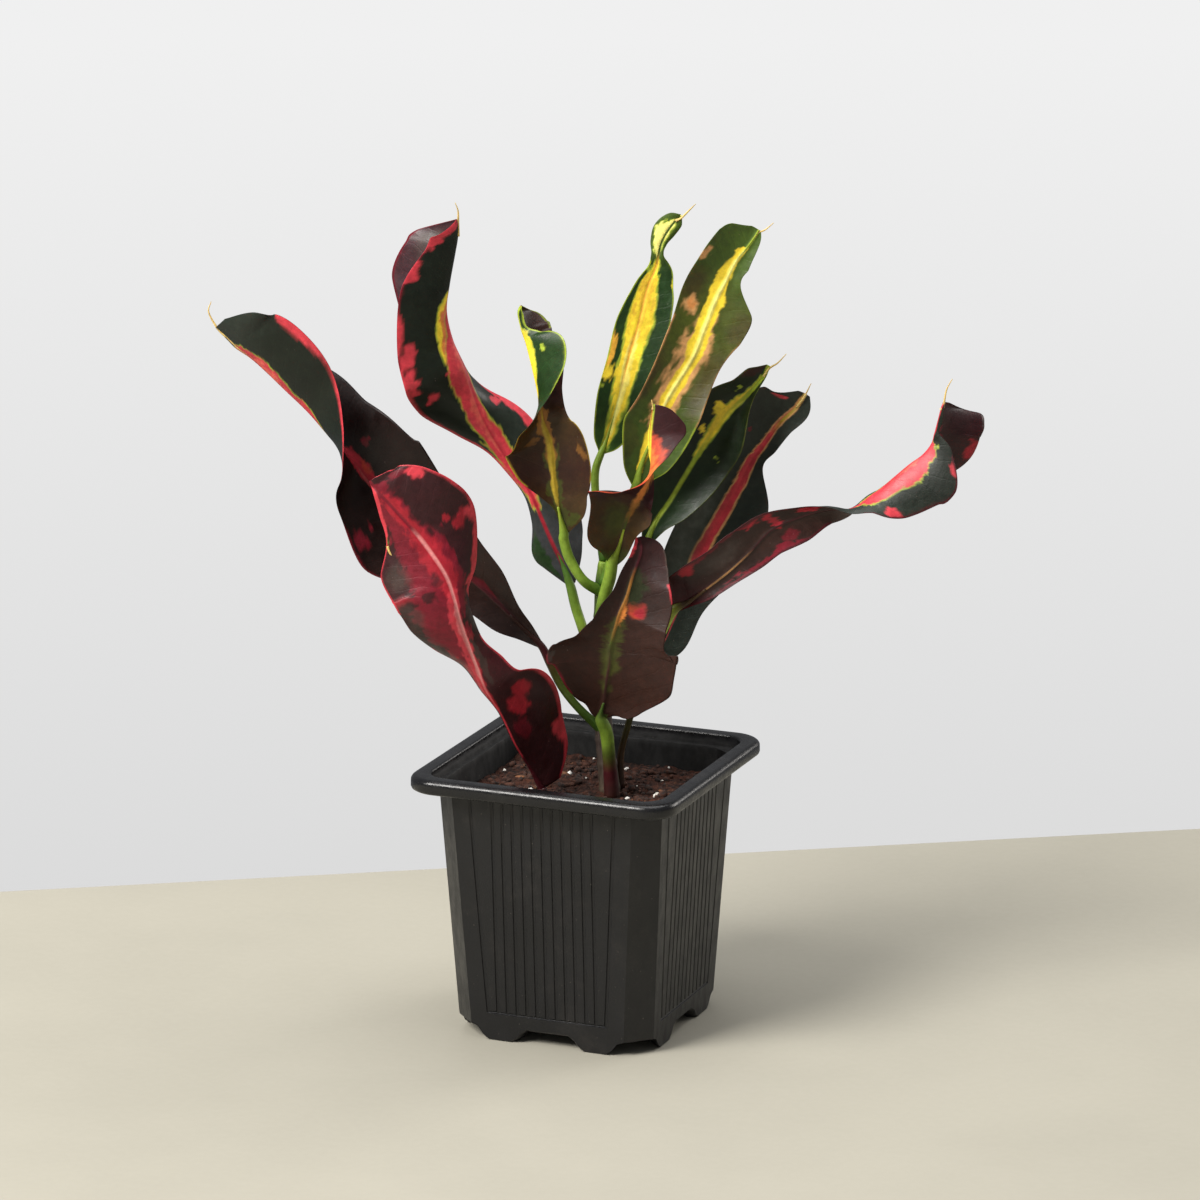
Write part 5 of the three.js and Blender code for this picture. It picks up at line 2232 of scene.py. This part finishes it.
@dataclass
class Studio:
    """The table, the soft lights and the camera."""

    azimuth: float = 22.19
    elevation: float = 14.97
    distance: float = 2.216
    aim_right: float = 0.00462
    aim_up: float = 0.14906
    lens: float = 185.49
    edge_distance: float = 0.183
    edge_turn: float = 32.15
    backdrop: str = "f0f0f0"
    backdrop_low: str = "dadada"
    low_sky: float = -0.31
    high_sky: float = -0.17
    fill: str = "eef0f4"
    fill_strength: float = 0.25
    lamp_aim: float = 0.15
    table_half: float = 3
    table_near: float = 4
    table_thickness: float = 0.03
    sensor_width: float = 36

    def axes(self) -> tuple[Vector, Vector, Vector]:
        """Finds the directions of the camera.

        Returns:
            Its back, right and up directions.
        """
        a, e = math.radians(self.azimuth), math.radians(self.elevation)
        back = Vector((math.sin(a) * math.cos(e), -math.cos(a) * math.cos(e), math.sin(e)))
        right = Vector((math.cos(a), math.sin(a), 0))
        return back, right, back.cross(right)

    def camera(self) -> bpy.types.Object:
        """Makes the camera and gives it to the scene.

        Returns:
            The camera.
        """
        back, right, up = self.axes()
        data = bpy.data.cameras.new("view")
        data.lens, data.sensor_width = self.lens, self.sensor_width
        data.clip_start, data.clip_end = 0.05, 50
        camera = bpy.data.objects.new("view", data)
        bpy.context.scene.collection.objects.link(camera)
        basis = Matrix((right, up, back)).transposed().to_4x4()
        place = back * self.distance + right * self.aim_right + up * self.aim_up
        camera.matrix_world = Matrix.Translation(place) @ basis
        bpy.context.scene.camera = camera
        return camera

    def table(self) -> bpy.types.Object:
        """Makes the table top, whose far edge runs behind the pot.

        Returns:
            The table.
        """
        turn = math.radians(self.edge_turn)
        along = Vector((math.cos(turn), math.sin(turn), 0))
        away = Vector((-math.sin(turn), math.cos(turn), 0))
        corners = []
        half, near, far = self.table_half, -self.table_near, self.edge_distance
        for side, depth in ((-half, near), (half, near), (half, far), (-half, far)):
            corners.append(along * side + away * depth)
        mesh = bpy.data.meshes.new("table")
        thickness = Vector((0, 0, -self.table_thickness))
        points = corners + [corner + thickness for corner in corners]
        faces = [(0, 1, 2, 3), (7, 6, 5, 4)] + [(i, i + 4, (i + 1) % 4 + 4, (i + 1) % 4) for i in range(4)]
        mesh.from_pydata([tuple(p) for p in points], [], faces)
        mesh.materials.append(TableFinish().material("table_top"))
        table = bpy.data.objects.new("table", mesh)
        bpy.context.scene.collection.objects.link(table)
        return table

    def light(
        self, name: str, right: float, toward: float, up: float, size: float, power: float, colour: str
    ) -> None:
        """Hangs a square soft light that faces the plant.

        Args:
            name: the light's name.
            right: distance to the camera's right, in metres.
            toward: distance towards the camera.
            up: height.
            size: side of the light.
            power: its power in watts.
            colour: its colour code.
        """
        a = math.radians(self.azimuth)
        side = Vector((math.cos(a), math.sin(a), 0))
        front = Vector((math.sin(a), -math.cos(a), 0))
        place = side * right + front * toward + Vector((0, 0, up))
        data = bpy.data.lights.new(name, "AREA")
        data.shape, data.size, data.energy = "SQUARE", size, power
        data.color = linear(colour).tolist()
        lamp = bpy.data.objects.new(name, data)
        aim = Vector((0, 0, self.lamp_aim)) - place
        lamp.matrix_world = Matrix.Translation(place) @ aim.to_track_quat("-Z", "Y").to_matrix().to_4x4()
        bpy.context.scene.collection.objects.link(lamp)

    def sky(self) -> None:
        """Fills the space round the table with pale even light, dimmer than it looks."""
        world = bpy.data.worlds.new("studio")
        bpy.context.scene.world = world
        world.use_nodes = True
        tree = world.node_tree
        tree.nodes.clear()
        ray = tree.nodes.new("ShaderNodeLightPath")
        seen, felt = (tree.nodes.new("ShaderNodeBackground") for _ in range(2))
        felt.inputs["Color"].default_value = rgba(self.fill)
        felt.inputs["Strength"].default_value = self.fill_strength
        place = tree.nodes.new("ShaderNodeTexCoord")
        parts = tree.nodes.new("ShaderNodeSeparateXYZ")
        tree.links.new(place.outputs["Generated"], parts.inputs[0])
        shade = tree.nodes.new("ShaderNodeValToRGB")
        height = tree.nodes.new("ShaderNodeMapRange")
        for socket, number in zip(height.inputs[1:3], (self.low_sky, self.high_sky)):
            socket.default_value = number
        tree.links.new(parts.outputs["Z"], height.inputs[0])
        tree.links.new(height.outputs[0], shade.inputs[0])
        for stop, code in zip(shade.color_ramp.elements, (self.backdrop_low, self.backdrop)):
            stop.color = rgba(code)
        tree.links.new(shade.outputs[0], seen.inputs["Color"])
        mix = tree.nodes.new("ShaderNodeMixShader")
        output = tree.nodes.new("ShaderNodeOutputWorld")
        tree.links.new(ray.outputs["Is Camera Ray"], mix.inputs[0])
        tree.links.new(felt.outputs[0], mix.inputs[1])
        tree.links.new(seen.outputs[0], mix.inputs[2])
        tree.links.new(mix.outputs[0], output.inputs[0])

    def build(self) -> None:
        """Sets up camera, table and lights."""
        self.camera()
        self.table()
        self.light("key", -1.2, 0.9, 1.5, 0.9, 60, "fffcf7")
        self.light("side", 1.6, -0.9, 0.8, 0.9, 12, "fffaf4")
        self.light("top", 0.1, -0.2, 1.9, 1.5, 22, "ffffff")
        self.sky()
        bpy.context.scene.view_settings.view_transform = "Standard"


def report(pieces: list[bpy.types.Object]) -> None:
    """Logs each piece with its size in millimetres.

    Args:
        pieces: the pieces.
    """
    for piece in pieces:
        size = ", ".join(f"{side / MM:.1f}" for side in piece.dimensions)
        LOG.info("%s: %s mm, %d faces", piece.name, size, len(piece.data.polygons))


def main() -> None:
    """Builds the pot, the peat, the stem and the leaves in order, then the studio."""
    logging.basicConfig(level=logging.INFO, format="%(name)s: %(message)s")
    report([Pot().build()])
    report(Peat().build())
    report([MainStem().build()])
    for leaf in LEAVES:
        report([leaf.build()])
    Studio().build()


if __name__ == "__main__":
    main()
